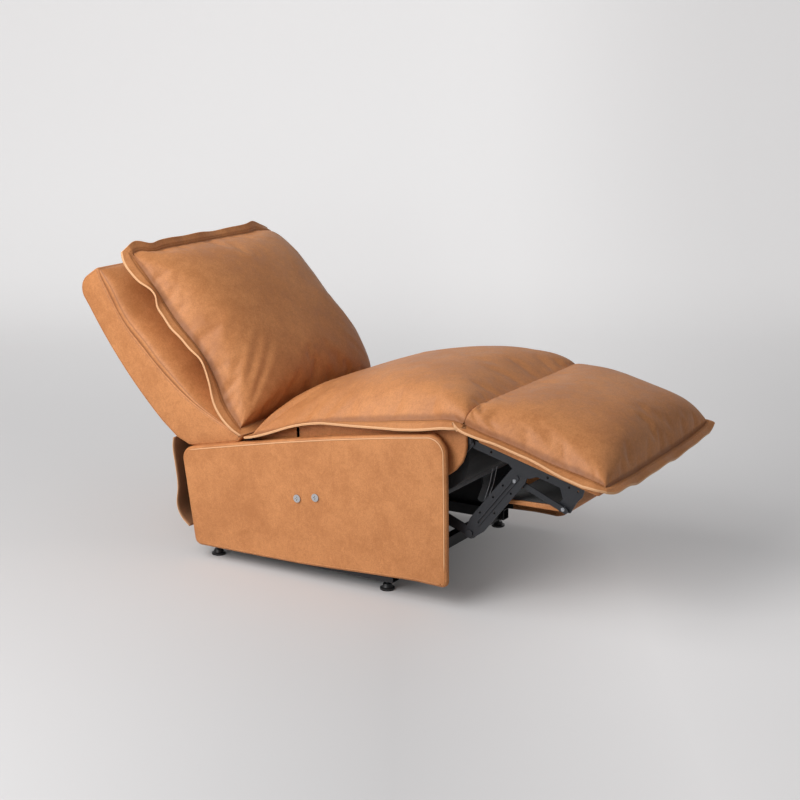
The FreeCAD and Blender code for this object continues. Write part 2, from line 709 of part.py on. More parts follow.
def makeDeckPad():
    """A thin felt and foam pad between the springs and the cushion."""
    front, rear = "seat_front + 24", "seat_rear - 4"
    long, rest = "(seat_rear - seat_front)", "seat_flange_z - deck_slack"
    top = [(f"seat_front + {share} * {long}", f"{rest} - {drop} * seat_fall")
           for share, drop in reversed(seatLine[1:-1])]
    crossPart("seat_deck_pad", "-1 * (seat_plate_in - 1)", "seat_plate_in - 1",
              [(front, frameLine(front)), (rear, frameLine(rear)), (rear, f"{rest} - seat_fall"),
               *top, (front, f"{rest} - 0.01 * seat_fall")])


def makeRearSkirt():
    """A slack leather flap that closes the gap between the back's foot and the panels."""
    half = value("panel_face") - 4
    foot, thick = value("panel_low") + 22, 4
    rear = value("shell_y") - 18
    shellSlope = 6 / value("shell_y - back_y - 92")
    top = value("shell_z - clearance") + 18 * shellSlope
    places = [(rear, top), (rear + 9, top - 55), (rear + 5, top - 145), (rear - 8, foot)]
    outer = Part.BSplineCurve()
    outer.interpolate([vector(-half, along, up) for along, up in places])
    inner = Part.BSplineCurve()
    inner.interpolate([vector(-half, along - thick, up) for along, up in places])
    edges = [outer.toShape(), Part.makeLine(outer.EndPoint, inner.EndPoint), inner.toShape(),
             Part.makeLine(inner.StartPoint, outer.StartPoint)]
    face = Part.Face(Part.Wire(Part.__sortEdges__(edges)))
    solidFeature("rear_skirt", face.extrude(vector(2 * half, 0, 0)))


def makeFootrestActuator():
    """A screw drive: a rail on the seat with a geared motor at its rear and a block that slides."""
    middle, tubeY = "crank_x", upperTube[0]
    along = (f"{driveTube[0]} + 24", f"{tubeY} + 40")
    railLow = f"{driveTube[1]} + rail_lift"
    channel = cutFrom("footrest_actuator_rail",
                      block("footrest_rail_body", (f"{middle} - 15", f"{middle} + 15"), along,
                            (railLow, f"{railLow} + rail_deep")),
                      block("footrest_rail_groove", (f"{middle} - 5", f"{middle} + 5"),
                            (along[0], f"{tubeY} - 20"), (railLow, f"{railLow} + 7")))
    keep(channel, "footrest_actuator_rail")
    gearbox = block("footrest_gearbox", (f"{middle} - 24", f"{middle} + 24"),
                    (f"{tubeY} + 40", f"{tubeY} + 88"), (f"{railLow} - 20", f"{railLow} + 22"))
    can = column("footrest_motor_can", (middle, f"{tubeY} + 64"), f"{railLow} - 88",
                 f"{railLow} - 20", "36")
    inlet = block("footrest_motor_inlet", (f"{middle} - 8", f"{middle} + 8"),
                  (f"{tubeY} + 88", f"{tubeY} + 94"), (f"{railLow} - 8", f"{railLow} + 6"))
    keep(fused("footrest_motor", [gearbox, can, inlet]), "footrest_motor")


def makeReclineActuator():
    """The same drive on the base, whose block pushes the seat along through the lower tube."""
    middle = "-1 * crank_x"
    low = railTop
    along = ("foot_front_y - tube_wide / 2", "foot_rear_y - 66")
    rail = cutFrom("recline_actuator_rail",
                   block("recline_rail_body", (f"{middle} - 15", f"{middle} + 15"), along,
                         (low, f"{low} + 13")),
                   block("recline_rail_groove", (f"{middle} - 5", f"{middle} + 5"),
                         ("foot_front_y + 40", along[1]), (f"{low} + 6", f"{low} + 13")))
    keep(rail, "recline_actuator_rail")
    gearbox = block("recline_gearbox", (f"{middle} - 24", f"{middle} + 24"),
                    ("foot_rear_y - 66", "foot_rear_y - 16"), (f"{low} - 8", f"{low} + 34"))
    can = rod("recline_motor_can", f"{middle} + 24", f"{middle} + 96",
              ("foot_rear_y - 41", f"{low} + 14"), "36")
    inlet = block("recline_motor_inlet", (f"{middle} - 30", f"{middle} - 24"),
                  ("foot_rear_y - 49", "foot_rear_y - 33"), (f"{low} + 8", f"{low} + 22"))
    ear = block("recline_motor_ear", (f"{middle} - 12", f"{middle} + 12"),
                ("foot_rear_y - 16", "foot_rear_y - tube_wide / 2"), (f"{low} - 8", f"{low} + 10"))
    keep(fused("recline_motor", [gearbox, can, inlet, ear]), "recline_motor")
    body = block("recline_block_body", (f"{middle} - 16", f"{middle} + 16"),
                 ("guide_rear_y - 22", "guide_rear_y + 22"),
                 (f"{low} + 13 + clearance", f"{low} + 38"))
    neck = block("recline_block_neck", (f"{middle} - 10", f"{middle} + 10"),
                 ("guide_rear_y - 12", "guide_rear_y + 12"), (f"{low} + 38", "guide_z"))
    eye = rod("recline_block_eye", f"{middle} - 10", f"{middle} + 10", ("guide_rear_y", "guide_z"),
              "2 * drive_tube + 10")
    hole = rod("recline_block_hole", f"{middle} - 11", f"{middle} + 11",
               ("guide_rear_y", "guide_z"), "2 * drive_tube")
    keep(cutFrom("recline_actuator_block", fused("recline_block", [body, neck, eye]), hole),
         "recline_actuator_block")


# ---------------------------------------------------------------- the footrest and its linkage

def turned(feature, place, angle):
    """Sets a part drawn about the origin, turned about X, at a place."""
    rotation = FreeCAD.Rotation(vector(1, 0, 0), angle)
    feature.Placement = FreeCAD.Placement(vector(0, value(place[0]), value(place[1])), rotation)
    return feature


def makeBracket(name, side):
    """A steel strap under the footrest with three pivots and a wide end for the apron."""
    low, eye, foot = "-1 * strap_wide", "-2 * plate_eye - 1", "-1 * (apron_drop + 12)"
    reach, end = f"{linkReach():.6f}", "apron_pin + 26"
    corners = [("16", "6"), ("12", "-12"), ("-10", low), (f"-1 * {reach} + 40", low),
               (f"-1 * {reach} + 18", eye), (f"-1 * {reach} - 20", eye),
               (f"-1 * {reach} - 38", low), ("-1 * apron_pin + 34", low), ("-1 * apron_pin + 16", foot),
               ("-1 * apron_pin - 12", foot), (f"-1 * ({end})", low), (f"-1 * ({end})", "board_gap"),
               ("-14", "board_gap"), ("6", "board_gap - 1")]
    body = flatPlate(f"footrest_bracket_{name}", side, "bracket_in", "plate_thick", corners,
                     [(corners[4], "10"), (corners[5], "10"), (corners[8], "6"), (corners[9], "8"),
                      (corners[10], "8")],
                     [("0", "0", "2 * pin"), (f"-1 * {reach}", f"{linkOff():.6f}", "2 * pin"),
                      ("-1 * apron_pin", "-1 * apron_drop", "2 * pin"),
                      ("-1 * apron_pin - 12", "-6", "6"), ("-1 * apron_pin + 12", "-6", "6"),
                      ("-1 * apron_pin + 70", "-6", "7"), ("-60", "-6", "7")])
    turned(body, knuckle, value("foot_slope"))


def linkReach():
    """How far along the footrest its link's pivot stands."""
    slope = math.radians(value("foot_slope"))
    across, up = value("link_y - knuckle_y"), value("link_z - knuckle_z")
    return -(across * math.cos(slope) + up * math.sin(slope))


def linkOff():
    """How far off the footrest's underside line its link's pivot stands."""
    slope = math.radians(value("foot_slope"))
    across, up = value("link_y - knuckle_y"), value("link_z - knuckle_z")
    return -across * math.sin(slope) + up * math.cos(slope)


def makeFootrest():
    """A plywood board on the brackets, a black cloth under it and a filled cushion on it."""
    low, high = "board_gap", "board_gap + board_thick"
    ends = ("-1 * board_length", "-1 * board_start")
    board = block("footrest_board", ("-1 * board_half", "board_half"), ends, (low, high))
    keep(board, "footrest_board")
    turned(board, knuckle, value("foot_slope"))
    place = FreeCAD.Placement(board.Placement)
    corner = place.multVec(vector(-value("board_half"), -value("board_length"), value(low)))
    for axis in "xyz":
        board.setExpression(f".Placement.Base.{axis}", None)
    board.Placement = FreeCAD.Placement(corner, place.Rotation)
    inner = f"bracket_in - 2"
    cloth = crossPart("footrest_underlining", f"-1 * ({inner})", inner,
                      [("-1 * board_length + 6", f"{low} - 1.2"), ("-1 * board_start - 6", f"{low} - 1.2"),
                       ("-1 * board_start - 6", low), ("-1 * board_length + 6", low)])
    turned(cloth, knuckle, value("foot_slope"))


def makeFootrestCushion():
    """The footrest's cushion: full at the seat, thinning to a flat edge at the tip."""
    slope = math.radians(value("foot_slope"))
    length, crown = value("foot_length"), value("foot_crown")
    under, thick = value("board_gap + board_thick"), value("foot_flange")
    hinge = vector(0, value(knuckle[0]), value(knuckle[1]))
    forward = vector(0, -math.cos(slope), -math.sin(slope))
    upward = vector(0, -math.sin(slope), math.cos(slope))
    cutAt = value("seat_front - clearance")

    def place(along, off):
        point = hinge + forward * along + upward * off
        if point.y > cutAt:
            point = point + forward * ((point.y - cutAt) / math.cos(slope))
        return point.y, point.z

    sections = []
    for across, full in acrossWidth(value("flange_half")):
        lower = [place(length, under + 8), place(length - 50, under + 0.3), place(-30, under + 0.3)]
        upper = [place(length * share, under + 8 + thick + crown * rise * full)
                 for share, rise in ((1, 0), (0.93, 0.12), (0.8, 0.5), (0.6, 0.8), (0.35, 0.93),
                                     (0.12, 0.78))]
        upper.append(place(-30, under + 8 + thick + crown * 0.5 * full))
        sections.append(closedSection(across, lower, upper))
    softSolid("footrest_cushion", sections)


def makeLink(name, side):
    """The footrest's long pressed link: tapered ends, a raised spine, and a row of holes."""
    label = f"extension_link_{name}"
    long, half, end = f"{linkLong:.6f}", "link_half", "link_end"
    body = doc.addObject("PartDesign::Body", label)
    sketch = newSketch(body, "YZ_Plane", sideOffset(side, "link_in"))
    shoulder = "30"
    drawOutline(sketch, [(f"-0.45 * {end}", f"-0.88 * {end}"), (shoulder, f"-1 * {half}"),
                         (f"{long} - {shoulder}", f"-1 * {half}"),
                         (f"{long} + 0.45 * {end}", f"-0.88 * {end}", "7"),
                         (f"{long} + 0.45 * {end}", f"0.88 * {end}"),
                         (f"{long} - {shoulder}", half), (shoulder, half),
                         (f"-0.45 * {end}", f"0.88 * {end}", "7")])
    pad(body, sketch, "plate_thick", reversed=side < 0)
    roundCorners(body, [((shoulder, f"-1 * {half}"), "14"), ((shoulder, half), "14"),
                        ((f"{long} - {shoulder}", f"-1 * {half}"), "14"),
                        ((f"{long} - {shoulder}", half), "14")])
    spine = newSketch(body, "YZ_Plane", sideOffset(side, "link_in + plate_thick"))
    drawSlot(spine, ("34", "0"), (f"{long} - 34", "0"), "13")
    pad(body, spine, "2.5", reversed=side < 0)
    groove = newSketch(body, "YZ_Plane", sideOffset(side, "link_in + plate_thick + 2.5"))
    drawSlot(groove, ("40", "0"), (f"{long} - 40", "0"), "5")
    pocket(body, groove, "3.2", reversed=side < 0)
    holes = newSketch(body, "YZ_Plane", sideOffset(side, "link_in"))
    row = [(f"{long} * {share}", off, "6") for share, off in
           ((0.32, "14"), (0.32, "-14"), (0.5, "14"), (0.62, "-14"), (0.74, "14"))]
    drawCircles(holes, [("0", "0", holeWide), (f"{long}", "0", holeWide),
                        ("stay_offset", "0", "2 * pin")] + row)
    pocket(body, holes)
    keep(body, label)
    turned(body, linkTop, linkTurn)


def makeStay(name, side):
    """A narrow bar that keeps the apron level, parallel to the footrest."""
    across = value(f"({stayFoot[0]}) - ({stayTop[0]})")
    up = value(f"({stayFoot[1]}) - ({stayTop[1]})")
    long = f"{math.hypot(across, up):.6f}"
    body = flatPlate(f"apron_stay_{name}", side, "stay_in", "plate_thick",
                     [("-9", "-7"), (f"{long} + 9", "-7", "5"), (f"{long} + 9", "7"), ("-9", "7", "5")],
                     (), [("0", "0", holeWide), (long, "0", holeWide)])
    turned(body, stayTop, math.degrees(math.atan2(up, across)))


def makeApron():
    """A leather-covered board that hangs level under the footrest, with a lip at its front."""
    slack = 1.5
    half = "stay_in - 9"
    apron = [(f"{apronPin[0]} + 12", f"{apronPin[1]} + 12"), (f"{apronPin[0]} + 25", f"{apronPin[1]} + 12"),
             (f"{apronPin[0]} + 24", f"{apronPin[1]} - 31"),
             (f"{apronPin[0]} + 196", f"{apronPin[1]} - 36"),
             (f"{apronPin[0]} + 196", f"{apronPin[1]} - 48"),
             (f"{apronPin[0]} + 18", f"{apronPin[1]} - 46"), (f"{apronPin[0]} + 8", f"{apronPin[1]} - 36")]
    crossPart("apron_board", f"-1 * ({half})", half, list(reversed(apron)),
              [(apron[5], "8"), (apron[6], "6"), (apron[0], "4")])
    inner = f"{half} - {slack}"
    crossPart("apron_lining", f"-1 * ({inner})", inner,
              [(f"{apronPin[0]} + 32", f"{apronPin[1]} - 31.2"),
               (f"{apronPin[0]} + 190", f"{apronPin[1]} - 35.8"),
               (f"{apronPin[0]} + 190", f"{apronPin[1]} - 34.8"),
               (f"{apronPin[0]} + 32", f"{apronPin[1]} - 30.2")])
    ears = []
    for name, side in sides:
        ears.append(flatPlate(f"apron_ear_{name}", side, half, "plate_thick",
                              [(f"{apronPin[0]} - 6", f"{apronPin[1]} - 12"),
                               (f"{apronPin[0]} + 12", f"{apronPin[1]} - 44"),
                               (f"{stayFoot[0]} + 14", f"{apronPin[1]} - 44"),
                               (f"{stayFoot[0]} + 14", f"{stayFoot[1]} + 12"),
                               (f"{apronPin[0]} + 14", f"{apronPin[1]} + 9"),
                               (f"{apronPin[0]} - 6", f"{apronPin[1]} + 10")], (),
                              [(*apronPin, holeWide), (*stayFoot, "2 * pin")], alone=False))
    grouped("apron_ears", ears)


def makeRivets():
    """The pins of the footrest's linkage, headed on the outside of the plates they turn in."""
    hinges, links, aprons = [], [], []
    plateOut = "seat_plate_in + plate_thick"
    for name, side in sides:
        hinges.append(fused(f"knuckle_rivet_{name}", [
            rod(f"knuckle_shank_{name}", *span(side, "bracket_in", plateOut), knuckle, "2 * pin"),
            rod(f"knuckle_head_{name}", *span(side, f"{plateOut} + clearance", f"{plateOut} + 3"),
                knuckle, "3 * pin"),
            rod(f"knuckle_neck_{name}", *span(side, plateOut, f"{plateOut} + 1"), knuckle, "2 * pin")]))
        hinges.append(fused(f"link_rivet_{name}", [
            rod(f"link_shank_{name}", *span(side, "link_in - 1", "bracket_in + plate_thick"), linkTop,
                "2 * pin"),
            rod(f"link_head_{name}", *span(side, "link_in - 3", "link_in - clearance"), linkTop,
                "3 * pin")]))
        hinges.append(rod(f"apron_rivet_{name}", *span(side, "stay_in - 9 + clearance", "bracket_in + plate_thick"),
                          apronPin, "2 * pin"))
        links.append(rod(f"stay_rivet_{name}", *span(side, "stay_in - 1", "link_in + plate_thick"),
                         stayTop, "2 * pin"))
        aprons.append(rod(f"apron_foot_rivet_{name}", *span(side, "stay_in - 9", "stay_in + plate_thick"),
                          stayFoot, "2 * pin"))
    grouped("footrest_rivets", hinges)
    grouped("stay_upper_rivets", links)
    grouped("stay_lower_rivets", aprons)


def makeDriveTube():
    """The torque tube across the seat, with a rocker at each end and the crank between."""
    reach = "seat_plate_in + plate_thick + 1"
    outer = rod("drive_tube_outer", f"-1 * ({reach})", reach, driveTube, "2 * drive_tube")
    bore = rod("drive_tube_bore", f"-1 * ({reach})", reach, driveTube, "2 * drive_tube - 4")
    keep(cutFrom("drive_tube", outer, bore), "drive_tube")
    tubeHole = "2 * drive_tube"
    across, up = value(f"foot_link_y - ({driveTube[0]})"), value(f"foot_link_z - ({driveTube[1]})")
    long = f"{math.hypot(across, up):.6f}"
    for name, side in sides:
        rocker = flatPlate(f"rocker_plate_{name}", side, "rocker_in", "plate_thick",
                           [("-16", "-17"), (f"{long} + 11", "-11", "5"), (f"{long} + 11", "11"),
                            ("-16", "17", "8")], (), [("0", "0", tubeHole), (long, "0", "2 * pin")],
                           alone=False)
        turned(rocker, driveTube, math.degrees(math.atan2(up, across)))
        shank = rod(f"foot_shank_{name}", *span(side, "rocker_in", "link_in + plate_thick + 1"),
                    linkFoot, "2 * pin")
        head = rod(f"foot_head_{name}", *span(side, "link_in + plate_thick + clearance",
                                              "link_in + plate_thick + 4"), linkFoot, "3.4 * pin")
        keep(fused(f"rocker_and_pin_{name}", [rocker, shank, head]), f"rocker_{name}")


def makeCrank():
    """A curved crank of two zinc-plated plates on the torque tube."""
    turn = -value("crank_angle")
    plates = []
    for index, near in enumerate(("crank_x - 14", "crank_x + 10")):
        body = doc.addObject("PartDesign::Body", f"crank_plate_{index}")
        sketch = newSketch(body, "YZ_Plane", near)
        drawOutline(sketch, [("-11", "-12"), ("crank * 0.5", "-14"), ("crank + 6", "-10", "4"),
                             ("crank + 6", "9"), ("crank * 0.5", "4", "3"), ("-11", "12", "4")])
        pad(body, sketch, "plate_thick")
        holes = newSketch(body, "YZ_Plane", near)
        drawCircles(holes, [("0", "0", "2 * drive_tube"), ("crank", "0", "2 * pin")])
        pocket(body, holes)
        turned(body, driveTube, turn)
        plates.append(body)
    pin = rod("crank_pin", "crank_x - 14", "crank_x + 14", crankPin, "2 * pin")
    grouped("drive_crank", [*plates, pin])


def makeActuatorLink():
    """The short link between the crank and the block, and the block that runs on the rail."""
    across = value(f"({blockPin[0]}) - ({crankPin[0]})")
    up = value(f"({blockPin[1]}) - ({crankPin[1]})")
    long = f"{math.hypot(across, up):.6f}"
    link = doc.addObject("PartDesign::Body", "actuator_link")
    sketch = newSketch(link, "YZ_Plane", "crank_x - 9.5")
    drawOutline(sketch, [("-9", "-9"), (f"{long} + 9", "-9", "5"), (f"{long} + 9", "9"), ("-9", "9", "5")])
    pad(link, sketch, "19")
    holes = newSketch(link, "YZ_Plane", "crank_x - 9.5")
    drawCircles(holes, [("0", "0", holeWide), (long, "0", holeWide)])
    pocket(link, holes)
    slot = newSketch(link, "XY_Plane", "0")
    drawOutline(slot, [("crank_x - 5.5", f"{long} - 14"), ("crank_x + 5.5", f"{long} - 14"),
                       ("crank_x + 5.5", f"{long} + 20"), ("crank_x - 5.5", f"{long} + 20")])
    pocket(link, slot)
    turned(link, crankPin, math.degrees(math.atan2(up, across)))
    keep(link, "actuator_link")
    body = doc.addObject("PartDesign::Body", "footrest_block_body")
    tongue = newSketch(body, "YZ_Plane", "crank_x - 5")
    railLow = f"{driveTube[1]} + rail_lift"
    drawOutline(tongue, [(f"{blockPin[0]} - 9", f"{blockPin[1]} - 9"),
                         (f"{blockPin[0]} + 9", f"{blockPin[1]} - 9"),
                         (f"{blockPin[0]} + 9", f"{railLow} + 6.5"),
                         (f"{blockPin[0]} - 9", f"{railLow} + 6.5")])
    pad(body, tongue, "10 - clearance")
    pin = rod("block_pin", "crank_x - 9.5", "crank_x + 9.5", blockPin, "2 * pin")
    keep(fused("footrest_block_and_pin", [body, pin]), "footrest_actuator_block")


# ---------------------------------------------------------------- the back, which turns on the seat

def onShell(along, forward):
    """A place on the back's side: up it from its rear foot, and forward of its rear face."""
    lean = value("recline")
    return awayFrom(awayFrom(("shell_y", "shell_z"), along, lean), forward, lean + 90)


def makeBackShell():
    """The upholstered shell: a tray open to the front and the foot, with a wide side border."""
    corners = [(*onShell("0", "0"), "shell_bow"), onShell("shell_long", "0"),
               onShell("shell_long - 10", "shell_deep"), onShell("44", "shell_deep"),
               ("back_y + 50", "back_z + 29"), ("back_y + 92", "shell_z + 6")]
    body = doc.addObject("PartDesign::Body", "back_shell")
    sketch = newSketch(body, "YZ_Plane", "-1 * shell_half")
    drawOutline(sketch, corners)
    pad(body, sketch, "2 * shell_half")
    roundCorners(body, [(corners[1], "shell_corner"), (corners[0], "shell_corner / 2"),
                        (corners[4], "12"), (corners[5], "12"), (corners[3], "60")])
    inside = newSketch(body, "YZ_Plane", "-1 * shell_half")
    drawOutline(inside, [onShell("-40", "shell_wall"), onShell("shell_long - shell_wall", "shell_wall"),
                         onShell("shell_long - shell_wall", "shell_deep + 80"),
                         onShell("-200", "shell_deep + 160"), onShell("-200", "shell_wall")])
    inside.setExpression("AttachmentOffset.Base.z", bind("-1 * (arm_in + plate_thick)"))
    pocket(body, inside, "2 * (arm_in + plate_thick)", reversed=True)
    keep(body, "back_shell")


def makeFrontPad():
    """The puffed panel that closes the shell's front above the back cushion's foot."""
    near, far = value("shell_deep + clearance"), value("shell_deep + pad_deep")
    low, high = value("pad_start"), value("shell_long - 14")
    middle = (low + high) / 2

    def place(along, off):
        spot = onShell(f"{along:.6f}", f"{off:.6f}")
        return value(spot[0]), value(spot[1])

    sections = []
    half = value("pad_half")
    for share in (-1, -0.96, -0.85, -0.6, -0.3, 0, 0.3, 0.6, 0.85, 0.96, 1):
        across, full = half * share, (1 - abs(share) ** 6) ** 0.5
        depth = near + 16 + (far - near - 16) * full
        lower = [place(low, near), place(high, near)]
        upper = [place(low, depth - 6), place(low + 40, depth), place(middle, depth + 2),
                 place(high - 40, depth), place(high, depth - 10)]
        sections.append(closedSection(across, lower, upper))
    softSolid("back_front_pad", sections)


def makeBackCushion():
    """The loose-looking back cushion, crowned on both faces, with a flat edge all round."""
    start, long = value("cushion_start"), value("cushion_long")
    plane, thick = value("cushion_deep"), value("flange_thick")
    behind = plane - thick / 2 - value("shell_deep + pad_deep + 2.6")

    def place(share, off):
        spot = onShell(f"{start + long * share:.6f}", f"{plane + off:.6f}")
        return value(spot[0]), value(spot[1])

    profile = ((0, 0, 0), (0.06, 0.4, 0.1), (0.16, 0.78, 0.62), (0.34, 1, 0.94), (0.52, 1.02, 1),
               (0.74, 0.94, 0.9), (0.88, 0.62, 0.5), (1, 0, 0))
    sections = []
    for across, full in acrossWidth(value("flange_half")):
        front = [place(share, thick / 2 + value("front_crown") * rise * full)
                 for share, rise, _ in profile]
        rear = [place(share, -thick / 2 - behind * rise * full)
                for share, _, rise in profile]
        edges = []
        for points in (front, rear):
            curve = Part.BSplineCurve()
            curve.interpolate([vector(across, *point) for point in points])
            edges.append(curve.toShape())
        for end in (0, -1):
            edges.append(Part.makeLine(vector(across, *front[end]), vector(across, *rear[end])))
        sections.append(Part.Wire(Part.__sortEdges__(edges)))
    softSolid("back_cushion", sections)


def makeBackArm(name, side):
    """A cranked steel arm: its pin in the cam slot, its pivot on the seat, its stem in the shell."""
    half = "plate_eye"
    tip, pivot = camPin, backPivot
    stem = [onShell("shell_long - 130", "52"), onShell("shell_long - 130", "76"),
            onShell("64", "76"), onShell("64", "52")]
    corners = [(f"{tip[0]} - 11", f"{tip[1]} - 8"), (f"{tip[0]} + 4", f"{tip[1]} - 12"),
               (f"{pivot[0]} + 4", f"{pivot[1]} - {half}"), stem[3], stem[0], stem[1], stem[2],
               (f"{pivot[0]} + 2", f"{pivot[1]} + {half}"), (f"{tip[0]} - 10", f"{tip[1]} + 9")]
    flatPlate(f"back_arm_{name}", side, "arm_in", "plate_thick", corners,
              [(corners[2], "16"), (corners[3], "30"), (corners[6], "30")],
              [(*tip, "2 * pin"), (*pivot, "2 * pin")])


def makeBackFrame():
    """Cross bars between the back's arms, the pins on the arms, and the pivots on the seat."""
    reach = "arm_in"
    bars = []
    for index, along in enumerate(("96", "shell_long - 160")):
        middle = onShell(along, "64")
        outer = rod(f"back_bar_outer_{index}", f"-1 * {reach}", reach, middle, "22")
        bore = rod(f"back_bar_bore_{index}", f"-1 * {reach}", reach, middle, "18")
        bars.append(cutFrom(f"back_bar_{index}", outer, bore))
    grouped("back_cross_bars", bars)
    cams, pivots = [], []
    armOut = "arm_in + plate_thick"
    for name, side in sides:
        cams.append(rod(f"cam_pin_{name}", *span(side, "arm_in", "panel_face - panel_thick - 0.5"),
                        camPin, "2 * pin"))
        pivots.append(fused(f"back_pivot_{name}", [
            rod(f"back_shank_{name}", *span(side, "seat_plate_in", armOut), backPivot, "2 * pin"),
            rod(f"back_head_{name}", *span(side, "seat_plate_in - 3", "seat_plate_in - clearance"),
                backPivot, "3 * pin"),
            rod(f"back_neck_{name}", *span(side, "seat_plate_in - 1", "seat_plate_in"), backPivot,
                "2 * pin")]))
    grouped("back_pins", cams + pivots)
    wood = []
    for index, along in enumerate(("70", "shell_long - 70")):
        low, high = onShell(along, "shell_wall"), onShell(along, "shell_wall + 20")
        lowTop, highTop = (onShell(f"{along} + 45", off) for off in ("shell_wall", "shell_wall + 20"))
        wood.append(crossPart(f"back_timber_{index}", "-1 * (arm_in + plate_thick)", "arm_in + plate_thick",
                              [low, lowTop, highTop, high], alone=False))
    grouped("back_timber_rails", wood)


def finish():
    doc.recompute()
    for thing in doc.Objects:
        if "Invalid" in thing.State or "Error" in thing.State:
            raise ValueError(f"{thing.Label} is {thing.State}")
    for node in nodes:
        if node.Shape.isNull() or not node.Shape.isValid() or not node.Shape.Solids:
            raise ValueError(node.Label + " is not a sound solid")
    os.makedirs("parts", exist_ok=True)
    for node in nodes:
        node.Shape.exportStep(f"parts/{node.Label}.step")
    print(len(nodes), "nodes")


bolts = []
for name, side in sides:
    makePanel(name, side)
    bolts += connectorBolts(name, side)
    makeCamPlate(name, side)
    makeSeatPlate(name, side)
    makeBracket(name, side)
    makeLink(name, side)
    makeStay(name, side)
    makeBackArm(name, side)
grouped("connector_bolts", bolts)
makeBaseFrame()
makeFeet()
makeSeatFrame()
makeSeatCrossTubes()
makeGuidePins()
makeSprings()
makeDeckPad()
makeSeatCushion()
makeRearSkirt()
makeFootrestActuator()
makeReclineActuator()
makeFootrest()
makeFootrestCushion()
makeApron()
makeRivets()
makeDriveTube()
makeCrank()
makeActuatorLink()
makeBackShell()
makeFrontPad()
makeBackCushion()
makeBackFrame()
finish()
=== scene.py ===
import json
import math
import bmesh
import bpy
import numpy as np
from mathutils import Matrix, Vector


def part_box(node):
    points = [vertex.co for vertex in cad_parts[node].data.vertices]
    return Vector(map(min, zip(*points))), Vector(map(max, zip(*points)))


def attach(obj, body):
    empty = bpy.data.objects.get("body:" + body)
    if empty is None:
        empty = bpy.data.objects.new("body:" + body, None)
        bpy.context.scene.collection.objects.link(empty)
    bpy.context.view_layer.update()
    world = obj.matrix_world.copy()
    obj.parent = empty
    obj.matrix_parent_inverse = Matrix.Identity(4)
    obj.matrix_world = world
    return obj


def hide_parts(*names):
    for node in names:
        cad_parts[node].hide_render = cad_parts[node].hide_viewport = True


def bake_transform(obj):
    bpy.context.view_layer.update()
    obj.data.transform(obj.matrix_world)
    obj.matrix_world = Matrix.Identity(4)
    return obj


# metres in the part's frame: the sitter faces -Y, +Z is up and the floor is Z = 0
# tables of Y and Z, and the settings of the padded pieces, are in millimetres
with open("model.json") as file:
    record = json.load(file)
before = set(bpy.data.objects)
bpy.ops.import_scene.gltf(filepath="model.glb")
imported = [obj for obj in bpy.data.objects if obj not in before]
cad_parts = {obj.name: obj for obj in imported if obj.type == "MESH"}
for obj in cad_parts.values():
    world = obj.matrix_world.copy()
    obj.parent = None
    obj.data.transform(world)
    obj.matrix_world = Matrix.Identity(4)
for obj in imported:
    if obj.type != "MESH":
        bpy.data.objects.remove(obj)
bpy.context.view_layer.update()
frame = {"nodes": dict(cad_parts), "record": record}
scene = bpy.context.scene
nodes = frame["nodes"]
print("frame loaded:", len(nodes), "nodes")

cameraSettings = {
    "azimuth": -59.0, "elevation": 13.4, "distance": 4.2954, "lens": 72.0, "sensor": 36.0,
    "target": (0.0, -0.0153, 0.4143),
}


def viewDirection(azimuth, elevation):
    # from the target towards the viewer: at azimuth 0 the viewer looks along +Y
    turn, lift = math.radians(azimuth), math.radians(elevation)
    return np.array([math.sin(turn) * math.cos(lift), -math.cos(turn) * math.cos(lift),
                     math.sin(lift)])


def aimAt(thing, place, target):
    # -Z of the object points from its place to the target, with Z up
    back = np.array(place) - np.array(target)
    back = back / np.linalg.norm(back)
    thing.location = place
    thing.rotation_euler = (math.acos(back[2]), 0.0, math.atan2(back[0], -back[1]))


def makeCamera():
    lens = bpy.data.cameras.new("photoCamera")
    lens.lens = cameraSettings["lens"]
    lens.sensor_width = cameraSettings["sensor"]
    camera = bpy.data.objects.new("photoCamera", lens)
    scene.collection.objects.link(camera)
    back = viewDirection(cameraSettings["azimuth"], cameraSettings["elevation"])
    target = np.array(cameraSettings["target"])
    aimAt(camera, target + back * cameraSettings["distance"], target)
    scene.camera = camera


lampSettings = {
    # azimuth and elevation in degrees, size in m and power in watts
    "keyLamp": (-102.0, 28.0, 2.4, 82.0),
    "rearLamp": (-136.0, 48.0, 2.4, 47.0),
    "fillLamp": (6.0, 40.0, 2.6, 9.0),
}
lampRing = {"distance": 3.4, "lift": 0.4, "target": (0.0, 0.0, 0.35)}


def makeLamps():
    for name, (azimuth, elevation, size, power) in lampSettings.items():
        light = bpy.data.lights.new(name, "AREA")
        light.shape = "DISK"
        light.size = size
        light.energy = power
        made = bpy.data.objects.new(name, light)
        scene.collection.objects.link(made)
        away = viewDirection(azimuth, elevation) * lampRing["distance"]
        aimAt(made, away + np.array([0, 0, lampRing["lift"]]), lampRing["target"])


class Value:
    # one shader socket: + and *, also after a number, add Math nodes
    def __init__(self, tree, socket):
        self.tree, self.socket = tree, socket

    def join(self, operation, other):
        return self.tree.node("ShaderNodeMath", {"operation": operation}, {0: self, 1: other})

    def __add__(self, other):
        return self.join("ADD", other)

    def __mul__(self, other):
        return self.join("MULTIPLY", other)

    __radd__ = __add__
    __rmul__ = __mul__

    def most(self, other):
        return self.join("MAXIMUM", other)


socketNames = {"colour": "Base Color", "roughness": "Roughness", "metallic": "Metallic",
               "normal": "Normal", "specular": "Specular IOR Level", "sheen": "Sheen Weight",
               "glow": "Emission Color"}


